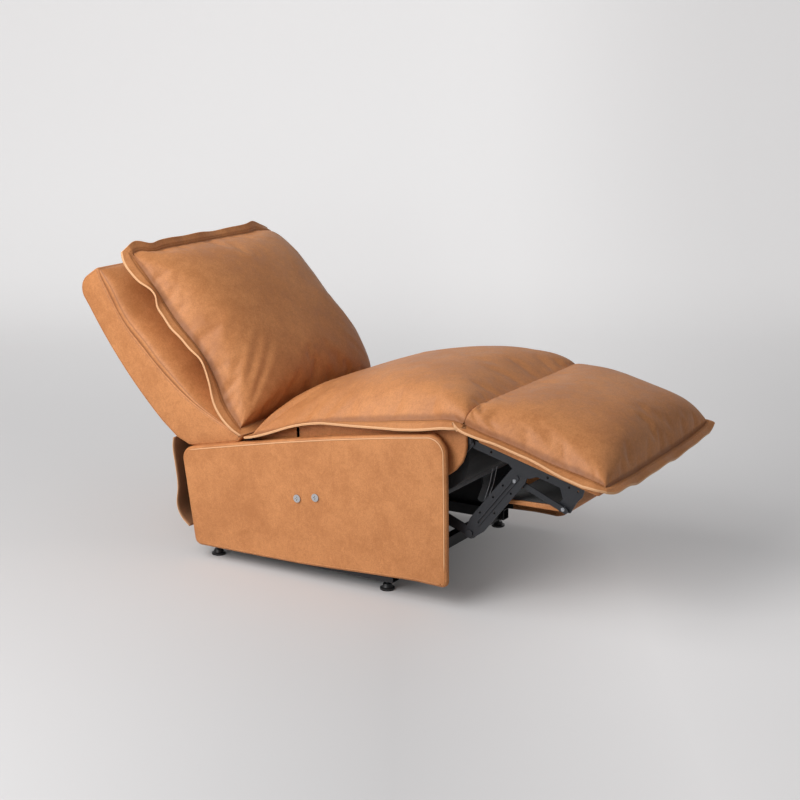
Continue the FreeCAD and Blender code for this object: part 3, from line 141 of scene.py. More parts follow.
class Shader:
    # a material's node tree, with one method that makes any node
    def __init__(self, name):
        self.material = bpy.data.materials.new(name)
        self.material.use_nodes = True
        self.nodes = self.material.node_tree.nodes
        self.links = self.material.node_tree.links
        self.surface = self.nodes["Principled BSDF"]

    def node(self, kind, settings=None, inputs=None, output=0):
        made = self.nodes.new(kind)
        for key, setting in (settings or {}).items():
            setattr(made, key, setting)
        for key, given in (inputs or {}).items():
            self.feed(made.inputs[key], given)
        return Value(self, made.outputs[output])

    def feed(self, socket, given):
        if isinstance(given, Value):
            self.links.new(given.socket, socket)
        else:
            socket.default_value = given

    def place(self, scale=(1.0, 1.0, 1.0)):
        # Object coordinates in metres, stretched
        where = self.node("ShaderNodeTexCoord", output="Object")
        return self.node("ShaderNodeMapping", None, {"Vector": where, "Scale": scale})

    def noise(self, where, scale, detail=3.0, rough=0.5, distort=0.0):
        return self.node("ShaderNodeTexNoise", None,
                         {"Vector": where, "Scale": scale, "Detail": detail, "Roughness": rough,
                          "Distortion": distort})

    def cells(self, where, scale):
        return self.node("ShaderNodeTexVoronoi", {"feature": "DISTANCE_TO_EDGE"},
                         {"Vector": where, "Scale": scale})

    def mark(self, name):
        # a float attribute of the mesh, 0 where the mesh has none
        return self.node("ShaderNodeAttribute", {"attribute_name": name}, output="Fac")

    def seen(self):
        # 1 for rays from the camera and in mirrors, 0 for light that falls on the object
        kinds = [self.node("ShaderNodeLightPath", output=kind)
                 for kind in ("Is Camera Ray", "Is Glossy Ray", "Is Transmission Ray")]
        return kinds[0].most(kinds[1]).most(kinds[2])

    def spread(self, value, low, high, out=(0.0, 1.0)):
        # a soft step from one value of out to the other, held at its ends
        return self.node("ShaderNodeMapRange", {"interpolation_type": "SMOOTHSTEP"},
                         {"Value": value, "From Min": low, "From Max": high, "To Min": out[0],
                          "To Max": out[1]})

    def mix(self, share, first, second):
        made = self.nodes.new("ShaderNodeMix")
        made.data_type = "RGBA"
        for socket, given in ((made.inputs[0], share), (made.inputs[6], first),
                              (made.inputs[7], second)):
            self.feed(socket, given if isinstance(given, (Value, float)) else (*given, 1.0))
        return Value(self, made.outputs[2])

    def bump(self, height, distance, strength=1.0, under=None):
        inputs = {"Height": height, "Distance": distance, "Strength": strength}
        if under is not None:
            inputs["Normal"] = under
        return self.node("ShaderNodeBump", None, inputs)

    def finish(self, **sockets):
        for name, given in sockets.items():
            self.feed(self.surface.inputs[socketNames[name]],
                      (*given, 1.0) if isinstance(given, tuple) else given)
        if "glow" in sockets:
            self.surface.inputs["Emission Strength"].default_value = 1.0
        return self.material


def fromScreen(red, green, blue):
    # a colour as seen on screen, 0 to 255, as the linear light that the shader wants
    return tuple((part / 255 / 12.92) if part <= 10 else ((part / 255 + 0.055) / 1.055) ** 2.4
                 for part in (red, green, blue))


def crowded(count):
    # from -1 to 1, closer together towards both ends
    return np.sin(np.linspace(-1, 1, count) * math.pi / 2)


def gridFaces(rows, columns, wrapped=False):
    # quads of a grid of points stored row by row; wrapped closes each row into a ring
    row = np.arange(rows - 1)[:, None]
    column = np.arange(columns if wrapped else columns - 1)[None, :]
    following = (column + 1) % columns
    return np.stack([row * columns + column, row * columns + following,
                     (row + 1) * columns + following, (row + 1) * columns + column],
                    axis=-1).reshape(-1, 4)


def gridRim(rows, columns):
    # the numbers of a grid's outermost points, once round
    index = np.arange(rows * columns).reshape(rows, columns)
    return np.concatenate([index[0, :-1], index[:-1, -1], index[-1, :0:-1], index[:0:-1, 0]])


def makeMesh(name, points, faces, marks=None):
    # a smooth mesh object from arrays, with one float attribute per entry of marks
    mesh = bpy.data.meshes.new(name)
    mesh.from_pydata(np.asarray(points, dtype=float).reshape(-1, 3).tolist(), [],
                     [list(map(int, face)) for face in faces])
    for key, amount in (marks or {}).items():
        layer = mesh.attributes.new(key, "FLOAT", "POINT")
        layer.data.foreach_set("value", np.asarray(amount, dtype=np.float32).ravel())
    mesh.shade_smooth()
    mesh.update()
    made = bpy.data.objects.new(name, mesh)
    scene.collection.objects.link(made)
    return made


def mended(thing):
    # doubles merged and normals turned outward
    work = bmesh.new()
    work.from_mesh(thing.data)
    bmesh.ops.remove_doubles(work, verts=work.verts, dist=1e-5)
    bmesh.ops.recalc_face_normals(work, faces=work.faces)
    work.to_mesh(thing.data)
    work.free()
    return thing


def closedGrid(name, top, under, marks):
    # two grids of one size, back to back, joined round their rims
    rows, columns = top.shape[:2]
    count, rim = rows * columns, gridRim(rows, columns)
    faces = np.concatenate([gridFaces(rows, columns), gridFaces(rows, columns)[:, ::-1] + count,
                            np.stack([np.roll(rim, -1), rim, rim + count,
                                      np.roll(rim, -1) + count], axis=1)])
    points = np.concatenate([top.reshape(-1, 3), under.reshape(-1, 3)])
    return mended(makeMesh(name, points, faces, marks))


def dress(thing, slot):
    thing.data.materials.clear()
    thing.data.materials.append(materials[slot])


def finishSoft(piece, body, replaced=(), slot="leather"):
    # the nodes a soft piece stands for, the body it rides on, and its finish
    if replaced:
        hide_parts(*replaced)
    if body:
        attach(piece, body)
    dress(piece, slot)


def spline(points, samples):
    # a natural cubic curve through the points, as so many samples at even chord lengths
    points = np.asarray(points, dtype=float)
    steps = np.linalg.norm(np.diff(points, axis=0), axis=1)
    knots = np.concatenate([[0], np.cumsum(steps)])
    count = len(points)
    matrix, right = np.eye(count), np.zeros_like(points)
    inner = np.arange(1, count - 1)
    matrix[inner, inner - 1] = steps[:-1]
    matrix[inner, inner] = 2 * (steps[:-1] + steps[1:])
    matrix[inner, inner + 1] = steps[1:]
    right[inner] = 3 * (np.diff(points[1:], axis=0) / steps[1:, None]
                        - np.diff(points[:-1], axis=0) / steps[:-1, None])
    bend = np.linalg.solve(matrix, right)
    where = np.linspace(0, 1, samples) * knots[-1]
    piece = np.clip(np.searchsorted(knots, where, side="right") - 1, 0, count - 2)
    step, past = steps[piece][:, None], (where - knots[piece])[:, None]
    rise = (points[piece + 1] - points[piece]) / step
    slope = rise - step * (2 * bend[piece] + bend[piece + 1]) / 3
    return points[piece] + past * (slope + past * (bend[piece] + past
                                                   * (bend[piece + 1] - bend[piece]) / (3 * step)))


def readTable(table, where):
    # a table of (place, amount) pairs, straight between them
    return np.interp(where, *np.array(table).T)


clothSettings = {
    "vertex_group_mass": "rim", "use_pressure": True, "uniform_pressure_force": 4.0, "mass": 0.4,
    "quality": 6, "tension_stiffness": 40, "compression_stiffness": 40, "bending_stiffness": 4.0,
    "air_damping": 6,
}
clothFrames = 20


def swell(name, points, settings):
    # blow a pinned sheet up as cloth: points is a grid, and its rim stays where it is
    rows, columns = points.shape[:2]
    faces = gridFaces(rows, columns)[:, ::settings["facing"]]
    sheet = makeMesh(name + "Sim", points, faces)
    group = sheet.vertex_groups.new(name="rim")
    group.add(gridRim(rows, columns).tolist(), 1.0, "REPLACE")
    cloth = sheet.modifiers.new("cloth", "CLOTH")
    for key, amount in clothSettings.items():
        setattr(cloth.settings, key, amount)
    cloth.settings.shrink_min = cloth.settings.shrink_max = -settings["slack"]
    cloth.settings.effector_weights.gravity = 0
    cloth.collision_settings.use_collision = False
    for step in range(clothFrames):
        scene.frame_set(step + 1)
    solved = sheet.evaluated_get(bpy.context.evaluated_depsgraph_get())
    moved = np.empty(rows * columns * 3, dtype=np.float32)
    solved.data.vertices.foreach_get("co", moved)
    shift = moved.reshape(rows, columns, 3) - points
    far = np.linalg.norm(shift, axis=2, keepdims=True)
    shift *= np.minimum(1, settings["cap"] / np.maximum(far, 1e-9))
    bpy.data.objects.remove(sheet)
    scene.frame_set(1)
    print("swelled", name, "by up to", round(float(far.max()) * 1000, 1), "mm")
    return points + shift


sewnEdge = [
    # share of the edge's width, height in m and pale mark: out over the flat sewn edge with its
    # stitch line, round its two raw layers, and back underneath
    (0.05, -0.0030, 0), (0.16, -0.0016, 0), (0.26, 0.0008, 0), (0.29, -0.0002, 0.25),
    (0.32, 0.0012, 0), (0.5, 0.0014, 0), (0.72, 0.0018, 0), (0.9, 0.0024, 0),
    (0.97, 0.0030, 0.6), (1.0, 0.0022, 1), (1.005, 0.0004, 1), (0.995, -0.0002, 0.1),
    (1.005, -0.0008, 1), (1.0, -0.0026, 1), (0.96, -0.0032, 0.4), (0.6, -0.0030, 0),
    (0.2, -0.0026, 0), (0.05, -0.0024, 0),
]


def cushion(name, settings):
    # a crowned top inside a seam, a flat edge outside it, and an underside
    # each point is at a share along the line, a share a across it (-1 to 1) and a lift off it
    # the top's lift is crown * (1 - |a| ** full) ** steep * the rise along it * the drop at its ends
    line = spline(settings["line"], 400) / 1000
    ahead = np.gradient(line, axis=0)
    ahead = ahead / np.linalg.norm(ahead, axis=1, keepdims=True)
    up = np.stack([-ahead[:, 1], ahead[:, 0]], axis=1) * settings["upward"]
    shareA, shareB = np.meshgrid(crowded(settings["across"]), crowded(settings["along"]))
    half = settings["seamHalf"] / 1000
    pinch = settings["pinch"] / 1000
    place = (shareB + 1) / 2                # from 0 to 1 between the end seams

    def onLine(share, lift):
        # share 0 to 1 along the line and a lift along its normal, as Y and Z
        where = np.clip(share, 0, 1) * (len(line) - 1)
        low = np.clip(where.astype(int), 0, len(line) - 2)
        part = (where - low)[..., None]
        spot = line[low] * (1 - part) + line[low + 1] * part
        return spot + (up[low] * (1 - part) + up[low + 1] * part) * lift[..., None]

    def lineShare(share):
        # -1 to 1 between the end seams, as 0 to 1 along the line
        start, stop = settings["seamStart"], settings["seamEnd"]
        return start + (stop - start) * (share + 1) / 2

    def spread(heights):
        sideways = half * shareA - pinch * shareA * (1 - shareB ** 2) * np.abs(shareA)
        return np.concatenate([sideways[..., None], onLine(lineShare(shareB), heights)], axis=-1)

    def domed(table, full, steep, ends):
        lift = readTable(spline(table, 200), place)
        return lift * (1 - np.abs(shareA) ** full) ** steep * ends

    start, stop = settings["endFull"]
    ends = np.where(shareB < 0, (1 - np.abs(shareB) ** start) ** 0.5,
                    (1 - np.abs(shareB) ** stop) ** 0.5)
    if settings["joined"]:
        ends = np.where(shareB < 0, 1 - settings["valley"] * (1 - ends), ends)
    fullTable = np.array(settings["sideFull"]).T
    near, far = (np.interp(place, fullTable[0], fullTable[side]) for side in (1, 2))
    full = near + (far - near) * (shareA + 1) / 2
    crown = domed(settings["rise"], full, settings["sideSteep"], ends) * settings["crown"] / 1000
    under = domed(settings["sag"], 3.0, settings["underSteep"],
                  (1 - np.abs(shareB) ** 12) ** 0.5) * settings["under"] / 1000
    droop = readTable(settings["droop"], place) / 1000
    top = swell(name, spread(crown), settings["cloth"])
    bottom = spread(-under - droop - 0.002)

    rows, columns = top.shape[:2]
    loop = gridRim(rows, columns)
    rimA, rimB = shareA.ravel()[loop], shareB.ravel()[loop]
    outA, outB = np.sign(rimA) * np.abs(rimA) ** 14, np.sign(rimB) * np.abs(rimB) ** 14
    length = np.hypot(outA, outB)
    outA, outB = outA / length, outB / length
    if settings["joined"]:
        seamed = rimB < -0.9999
        outA = np.where(seamed, np.sign(rimA) * (np.abs(rimA) > 0.9999), outA)
        outB = np.where(seamed, 0, outB)
    loose = np.hypot(outA, outB)                # 0 where the cushion is sewn to the next one
    spot = np.clip((lineShare(rimB) * (len(line) - 1)).astype(int), 0, len(line) - 1)
    outward = np.concatenate([outA[:, None], ahead[spot] * outB[:, None]], axis=1)
    lifted = np.concatenate([np.zeros((len(loop), 1)), up[spot]], axis=1)
    rim = top.reshape(-1, 3)[loop]
    walk = np.concatenate([[0], np.cumsum(np.linalg.norm(np.diff(rim, axis=0), axis=1))])
    whole = walk[-1] + np.linalg.norm(rim[0] - rim[-1])
    wave = sum(size * np.sin(2 * math.pi * count * walk / whole + phase)
               for size, count, phase in settings["waves"]) / 1000
    wave = wave * (1 - (1 - settings["calm"]) * outA ** 2)
    hang = droop.ravel()[loop] * np.maximum(outA ** 2, outB ** 2)
    edgeWidth = (settings["edge"] + (settings["endEdge"] - settings["edge"]) * outB ** 2) / 1000
    rings, pale, creaseShade = [], [], []
    for share, height, light in sewnEdge:
        lift = loose * (wave * share ** 1.3 - hang * share ** 1.2 + height)
        rings.append(rim + outward * (edgeWidth * share)[:, None] + lifted * lift[:, None])
        pale.append(np.full(len(loop), light, dtype=float))
        # painted shade: darkest at the seam, gone a quarter of the way out over the sewn edge
        creaseShade.append(np.full(len(loop), 1.0 - min(share * 4, 1.0)))

    count = rows * columns
    points = np.concatenate([top.reshape(-1, 3), *rings, bottom.reshape(-1, 3)])
    ringAt = [count + number * len(loop) + np.arange(len(loop)) for number in range(len(rings))]
    bands = [loop, *ringAt, count + len(rings) * len(loop) + loop]
    faces = [gridFaces(rows, columns)]
    for inner, outer in zip(bands, bands[1:]):
        faces.append(np.stack([np.roll(inner, -1), inner, outer, np.roll(outer, -1)], axis=1))
    faces.append(gridFaces(rows, columns)[:, ::-1] + count + len(rings) * len(loop))
    # painted shade on the top, within 1.2 percent of its width of the seam
    rimNear = np.minimum(1 - np.abs(shareA), 1 - np.abs(shareB)).ravel()
    creaseShadeTop = np.clip(1 - rimNear / 0.012, 0, 1)
    marks = {
        "pale": np.concatenate([np.zeros(count), *pale, np.zeros(count)]),
        "creaseShade": np.concatenate([creaseShadeTop, *creaseShade, np.zeros(count)]),
    }
    if "shape" in settings:
        points = settings["shape"](points)
    return mended(makeMesh(name, points, np.concatenate(faces), marks))


tipSettings = {
    # metres: how far the tip lifts by X, and over what length behind the hinge
    "lift": [(-0.350, 0.013), (-0.317, 0.012), (-0.181, 0.008), (0, 0.010), (0.142, 0.013),
             (0.213, 0.016), (0.298, 0.024), (0.334, 0.032), (0.350, 0.034)],
    "start": 0.58, "over": 0.19, "cornerX": -0.29, "cornerY": 0.72, "cornerOver": 0.06,
}


def curledTip(points):
    # the footrest's tip lifts towards its corners, and its near corner is drawn in
    tip = tipSettings
    share = np.clip((-points[:, 1] - tip["start"]) / tip["over"], 0, 1) ** 1.5
    corner = np.clip((tip["cornerX"] - points[:, 0]) / tip["cornerOver"], 0, 1) ** 2 \
        * np.clip((-points[:, 1] - tip["cornerY"]) / tip["cornerOver"], 0, 1) ** 2
    lift = readTable(tip["lift"], points[:, 0]) * share
    return points + np.stack([0.010 * corner, 0.014 * corner, lift], axis=1)


seatSettings = {
    "line": [(-387, 469), (-363, 474), (-300, 468), (-209, 455), (-120, 440), (-3, 424), (100, 399),
             (163, 378), (252, 352)],
    "droop": [(0, 15), (0.05, 20), (0.28, 18), (0.45, 9), (0.62, 0), (1, 0)],
    "upward": 1, "joined": True, "seamHalf": 322, "seamStart": 0.0, "seamEnd": 0.985, "pinch": 3,
    "across": 96, "along": 84, "crown": 100, "sideSteep": 0.5,
    "sideFull": [(0, 16, 18), (0.05, 9, 14), (0.14, 4, 8), (0.3, 3, 4.5), (1, 3, 4)],
    "endFull": (5, 20), "underSteep": 0.4, "under": 3, "valley": 0.35,
    "rise": [(0, 0.45), (0.05, 0.56), (0.105, 0.67), (0.18, 0.785), (0.26, 0.855), (0.355, 0.89),
             (0.48, 0.845), (0.605, 0.70), (0.73, 0.60), (0.86, 0.56), (0.95, 0.58), (1, 0.6)],
    "sag": [(0, 1), (0.5, 1), (1, 1)],
    "edge": 31, "endEdge": 12, "waves": [(1.8, 5, 0.6), (1.2, 11, 2.0)], "calm": 1,
    "cloth": {"slack": 0.008, "cap": 0.022, "facing": 1},
}
footrestSettings = {
    "line": [(-387.6, 469), (-431, 455), (-485, 440), (-538, 426), (-591, 409), (-642, 394),
             (-719, 373), (-757, 358), (-790, 340)],
    "droop": [(0, 15), (0.1, 9), (0.25, 4), (0.5, 4), (0.7, 10), (0.88, 16), (1, 8)],
    "upward": -1, "joined": True, "seamHalf": 322, "seamStart": 0.0, "seamEnd": 0.92, "pinch": 6,
    "across": 96, "along": 72, "crown": 88, "sideSteep": 0.5,
    "sideFull": [(0, 16, 16), (0.05, 9, 14), (0.14, 4.2, 9), (0.4, 3.2, 6), (1, 3.2, 5)],
    "endFull": (9, 9), "underSteep": 0.4, "under": 3, "valley": 0.14, "shape": curledTip,
    "rise": [(0, 0.50), (0.11, 0.64), (0.25, 0.84), (0.4, 0.95), (0.56, 1.0), (0.73, 0.96),
             (0.87, 0.8), (1, 0.44)],
    "sag": [(0, 1), (0.5, 1), (1, 1)],
    "edge": 31, "endEdge": 27, "waves": [(1.6, 4, 0.2), (3.2, 9, 1.0), (2.6, 17, 0.4)],
    "calm": 0.4,
    "cloth": {"slack": 0.008, "cap": 0.022, "facing": -1},
}

reclined = math.radians(51.2)           # how steeply the laid-back back rises
backFoot = (486, 317)                   # Y and Z of its foot, at its rear face


def onShell(along, forward):
    # Y and Z in mm of a place on the back: along it from its foot, and forward of its rear face
    return (backFoot[0] + along * math.cos(reclined) - forward * math.sin(reclined),
            backFoot[1] + along * math.sin(reclined) + forward * math.cos(reclined))


backBend = {
    # forward of the shell's rear by place along it: the side seam, and the edge outside it
    "seam": [(-130, 190), (-103, 190), (-67, 189), (-13, 189), (41, 202), (98, 211), (152, 211),
             (211, 202), (283, 197), (341, 199), (395, 198), (461, 197), (500, 197)],
    "edge": [(-130, 186), (-108, 183), (-35, 173), (10, 179), (46, 197), (73, 208), (116, 217),
             (153, 203), (199, 196), (233, 185), (272, 185), (301, 187), (327, 206), (349, 204),
             (382, 185), (412, 178), (461, 176), (500, 184)],
    "level": 0.199, "half": 0.318, "top": 0.48,
    "topWaves": [(0.010, -0.29, 0.03), (0.008, 0.24, 0.028), (-0.007, -0.235, 0.03)],
    "foldX": 0.335, "foldBack": 0.022, "foldDown": 0.016,
}


def bentBack(points):
    # the side seams and edges of the back cushion wander by their tables, its far corner folds
    bend = backBend
    ahead = np.array([0, math.cos(reclined), math.sin(reclined)])
    forward = np.array([0, -math.sin(reclined), math.cos(reclined)])
    along = (points - np.array([0, *backFoot]) / 1000) @ ahead
    near = np.exp(-np.clip(points[:, 0] + bend["half"], 0, 1) / 0.06)
    far = np.exp(-np.clip(bend["half"] - points[:, 0], 0, 1) / 0.06)
    outside = np.clip((np.abs(points[:, 0]) - bend["half"]) / 0.03, 0, 1)
    top = np.exp(-np.clip(bend["top"] - along, 0, 1) / 0.03)
    seamAt, edgeAt = (readTable(spline(bend[name], 300) / 1000, along) for name in ("seam", "edge"))
    shift = (near + far) * (seamAt - bend["level"]) + outside * (edgeAt - seamAt)
    rise = top * sum(size * np.exp(-((points[:, 0] - middle) / wide) ** 2)
                     for size, middle, wide in bend["topWaves"])
    fold = top * np.exp(-np.clip(bend["foldX"] - points[:, 0], 0, 1) / 0.045)
    shift = shift - bend["foldBack"] * fold
    rise = rise - bend["foldDown"] * fold
    return points + shift[:, None] * forward + rise[:, None] * ahead


backSettings = {
    "line": [onShell(-119, 205), onShell(0, 200), onShell(150, 199), onShell(300, 198),
             onShell(400, 198), onShell(494, 200)],
    "droop": [(0, 0), (1, 0)],
    "upward": 1, "joined": False, "seamHalf": 318, "seamStart": 0.05, "seamEnd": 0.945, "pinch": 8,
    "across": 96, "along": 96, "crown": 94, "sideSteep": 0.5,
    "sideFull": [(0, 3.6, 11), (0.2, 3.4, 8), (0.45, 3.2, 4.6), (1, 3.0, 3.2)],
    "endFull": (8, 3.6), "underSteep": 0.6, "under": 46, "shape": bentBack,
    "rise": [(0, 0.80), (0.2, 0.99), (0.45, 1.04), (0.7, 1.0), (0.9, 0.82), (1, 0.7)],
    "sag": [(0, 0.55), (0.2, 0.9), (0.5, 1), (0.8, 0.9), (1, 0.5)],
    "edge": 30, "endEdge": 28, "waves": [(2.6, 6, 0.2), (2.4, 11, 1.0), (1.8, 19, 0.4)],
    "calm": 0.25,
    "cloth": {"slack": 0.01, "cap": 0.024, "facing": 1},
}


def makeCushions():
    for name, settings, node, body, fill in (
            ("seatCushion", seatSettings, "seat_cushion", "seat", 0.75),
            ("footrestCushion", footrestSettings, "footrest_cushion", "footrest", 0.7),
            ("backCushion", backSettings, "back_cushion", "back", 0.7)):
        finishSoft(cushion(name, settings), body, [node])


kneeSettings = {
    # metres: the cushions' seam, the roll's foot, its heights over the seam, and its reach in Y
    "seam": 0.469, "foot": 0.452, "tops": (0.0265, 0.033), "dip": 0.012, "half": 0.320,
    "reach": (-0.377, -0.397), "rows": 22, "columns": 60,
}


def makeKnee():
    # the leather that joins seat and footrest: hidden at rest, a round roll when the footrest folds
    # its height over the seam is (tops mixed along it - dip * sin) * (1 - |a| ** 16) ** 0.5
    here = kneeSettings
    (nearTop, farTop), (start, stop) = here["tops"], here["reach"]
    share = np.linspace(0, 1, here["rows"])[:, None]
    side = crowded(here["columns"])[None, :]
    tops = nearTop * (1 - share) + farTop * share - here["dip"] * np.sin(math.pi * share)
    z = here["seam"] + tops * (1 - np.abs(side) ** 16) ** 0.5
    y = start + (stop - start) * share + 0 * side
    x = here["half"] * side + 0 * share
    knee = closedGrid("kneeRoll", np.stack([x, y, z], axis=-1),
                      np.stack([x, y, np.full_like(z, here["foot"])], axis=-1), {})
    finishSoft(knee, None)
    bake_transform(knee)


def rounded(corners, steps):
    # a closed outline in mm with rounded corners; each corner is (y, z, radius)
    count, out = len(corners), []
    for index, (y, z, radius) in enumerate(corners):
        here = np.array([y, z], dtype=float)
        before = np.array(corners[index - 1][:2], dtype=float) - here
        after = np.array(corners[(index + 1) % count][:2], dtype=float) - here
        before, after = before / np.linalg.norm(before), after / np.linalg.norm(after)
        half = math.acos(np.clip(before @ after, -1, 1)) / 2
        if radius < 0.5 or half > 1.5:
            out.append(here[None])              # no radius, or an almost straight corner
            continue
        reach, middle = radius / math.tan(half), before + after
        centre = here + middle / np.linalg.norm(middle) * radius / math.sin(half)
        start, stop = here + before * reach - centre, here + after * reach - centre
        share = np.linspace(0, 1, steps)[:, None]
        arc = start * (1 - share) + stop * share
        out.append(centre + arc / np.linalg.norm(arc, axis=1, keepdims=True) * radius)
    return np.concatenate(out)


def plainCorners(places):
    # corners without a radius
    return [(*place, 0) for place in places]


outlineGap = 7.0                        # mm between a slab's points round its outline


def evened(outline):
    # the same closed outline with its points evenly apart
    closed = np.concatenate([outline, outline[:1]])
    steps = np.linalg.norm(np.diff(closed, axis=0), axis=1)
    knots = np.concatenate([[0], np.cumsum(steps)])
    where = np.linspace(0, knots[-1], int(knots[-1] / outlineGap), endpoint=False)
    return np.stack([np.interp(where, knots, closed[:, axis]) for axis in (0, 1)], axis=1)


def outwardOf(outline):
    # unit normals of a closed outline, away from its inside
    ahead = np.roll(outline, -1, axis=0) - np.roll(outline, 1, axis=0)
    normal = np.stack([ahead[:, 1], -ahead[:, 0]], axis=1)
    normal /= np.linalg.norm(normal, axis=1, keepdims=True)
    area = np.sum(outline[:, 0] * np.roll(outline[:, 1], -1)
                  - np.roll(outline[:, 0], -1) * outline[:, 1])
    return normal * (1 if area > 0 else -1)


def ladder(count, apex, offset, flip):
    # closes a ring of points with rungs from both sides of one of its points
    faces = []
    for step in range((count - 1) // 2):
        left, right = (apex + step) % count, (apex - step) % count
        ahead, behind = (left + 1) % count, (right - 1) % count
        rung = [left, ahead, behind] if step == 0 else [left, ahead, behind, right]
        if ahead == behind:
            rung = [left, ahead, right]
        faces.append([offset + place for place in (rung if flip else rung[::-1])])
    return faces


def slab(name, outline, low, high, profile, apex=None):
    # a padded slab between two X values: rings at outline - outward * inset, each so deep below its
    # face; a profile has (inset, depth, pale, crease) from a face's middle to its rim, for both
    # faces, which flat middles or ladders close; the crease column is painted shade in grooves and
    # seams
    outline = evened(outline)
    out = outwardOf(outline)
    rings, pale, creaseShade = [], [], []
    for face, flip in ((high, 1), (low, -1)):
        steps = profile if flip > 0 else profile[::-1]
        # light is the pale mark; dark is painted shade in the grooves and at the seams
        for inset, below, light, dark in steps:
            place = outline - out * inset
            rings.append(np.column_stack([np.full(len(place), face - flip * below), place]) / 1000)
            pale.append(np.full(len(place), float(light)))
            creaseShade.append(np.full(len(place), float(dark)))
    count = len(outline)
    faces = [list(face) for face in gridFaces(len(rings), count, True)]
    last = count * (len(rings) - 1)
    if apex is None:
        faces += [list(range(count))[::-1], list(range(last, last + count))]
    else:
        start = int(np.argmin(np.linalg.norm(outline - np.array(apex), axis=1)))
        faces += ladder(count, start, 0, False) + ladder(count, start, last, True)
    return mended(makeMesh(name, np.concatenate(rings), faces,
                           {"pale": np.concatenate(pale), "creaseShade": np.concatenate(creaseShade)}))


panelSettings = {
    # the top edge from behind forward, in mm: its start, its run, and how far it bows up
    "topFrom": (456, 295), "topRun": (-806, 146), "bow": 10, "bowAt": (0.2, 0.4, 0.6, 0.8),
    "foot": [(-346, 51), (-312, 52), (-269, 53), (-225, 51.5), (-170, 49), (-107, 46), (-17, 41),
             (76, 37), (200, 35), (330, 34)],
    "frontFoot": (-359, 50, 16), "rear": [(418, 33, 20), (458, 297, 34)],
    "front": [(-352, 441, 46), (-356, 272, 0)], "faces": {"right": (-350, -318), "left": (318, 350)},
    # inset, depth, pale, crease: a flat middle, a raised piping with painted shade in the grooves
    # beside it, and a rounded rim
    "profile": [(12.6, 0.0, 0, 0), (10.4, 0.1, 0, 0.1), (9.4, 0.5, 0, 0.9), (8.6, 0.1, 0.8, 0.2),
                (7.6, -0.5, 1, 0), (6.6, 0.1, 0.9, 0.1), (5.8, 0.9, 0.1, 0.8), (4.6, 1.4, 0, 0.2),
                (2.6, 2.8, 0, 0), (0.9, 5.4, 0, 0), (0.2, 8.0, 0, 0), (0.0, 12.0, 0, 0)],
    # metres: the rim's inner half starts at this X and draws back so far ahead of this Y
    "inner": (0.336, 0.016), "ahead": (0.30, 0.04), "drawn": 0.013,
}


def makeSidePanels():
    here = panelSettings
    (startY, startZ), (runY, runZ) = here["topFrom"], here["topRun"]
    top = [(startY + runY * share, startZ + runZ * share + here["bow"] * 4 * share * (1 - share))
           for share in here["bowAt"]]
    outline = rounded([here["frontFoot"], *plainCorners(here["foot"]), *here["rear"],
                       *plainCorners(top), *here["front"]], 9)
    for name, (low, high) in here["faces"].items():
        panel = slab(f"sidePanel_{name}", outline, low, high, here["profile"])
        vertices = panel.data.vertices
        place = np.empty(len(vertices) * 3)
        vertices.foreach_get("co", place)
        place = place.reshape(-1, 3)
        inner = np.clip((here["inner"][0] - np.abs(place[:, 0])) / here["inner"][1], 0, 1)
        ahead = np.clip((-place[:, 1] - here["ahead"][0]) / here["ahead"][1], 0, 1)
        place[:, 1] += here["drawn"] * inner * ahead
        vertices.foreach_set("co", place.ravel())
        # the piping ends below, and behind a slanting line
        piped = np.clip((place[:, 2] - 0.085) / 0.03, 0, 1)
        piped *= np.clip((0.44 - place[:, 1] - 0.19 * (0.30 - place[:, 2])) / 0.03, 0, 1)
        for mark in ("pale", "creaseShade"):
            layer = panel.data.attributes[mark].data
            amount = np.empty(len(vertices), dtype=np.float32)
            layer.foreach_get("value", amount)
            layer.foreach_set("value", amount * piped.astype(np.float32))
        finishSoft(panel, "base", [f"side_panel_cover_{name}", f"side_panel_board_{name}"])


shellSettings = {
    # places on the back in mm, as onShell reads them: the stitched seam along its front edge
    "seam": [(498, 88), (490, 82), (450, 71), (390, 64), (322, 61), (246, 70), (164, 83),
             (77, 104), (13, 129), (-50, 161), (-112, 196)],
    "hump": 26, "humpAt": 272, "half": 335,
    "rearTop": (511, -12), "frontTop": (502, 84), "foot": (-112, 197), "topRadii": (44, 9),
    # Y, Z and radius under the seat
    "rearFoot": (482, 319, 8),
    "underside": [(276, 333, 8), (352, 314, 0), (396, 306, 12), (440, 303, 14)],
    "profile": [(9, -0.8, 0, 0), (7.0, -0.4, 0, 0.2), (6.2, 0.5, 0, 0.9), (5.4, -0.2, 0.35, 0.1),
                (3.4, 0.7, 0.1, 0), (1.2, 3.0, 0, 0), (0.3, 6.0, 0, 0), (0.0, 10.0, 0, 0)],
}
shellSeamLine = spline(shellSettings["seam"][::-1], 300)


def shellSeam(along):
    # how far forward of the shell's rear face its front seam runs, by place along it
    return readTable(shellSeamLine, along)


def makeShell():
    # the back's outer shell: a closed slab whose front edge is the stitched seam
    # its rear face lies hump * (1 - (along / humpAt - 1) ** 2) behind the straight line
    here = shellSettings
    front = [onShell(along, shellSeam(along)) for along in np.linspace(478, -84, 22)]
    rear = [onShell(along, -here["hump"] * (1 - (along / here["humpAt"] - 1) ** 2))
            for along in np.linspace(60, 440, 10)]
    foot = onShell(*here["foot"])
    corners = [here["rearFoot"], *plainCorners(rear),
               (*onShell(*here["rearTop"]), here["topRadii"][0]),
               (*onShell(*here["frontTop"]), here["topRadii"][1]),
               *plainCorners(front), (*foot, 0), *here["underside"]]
    shell = slab("backShell", rounded(corners, 8), -here["half"], here["half"], here["profile"],
                 apex=foot)
    finishSoft(shell, "back", ["back_shell"])


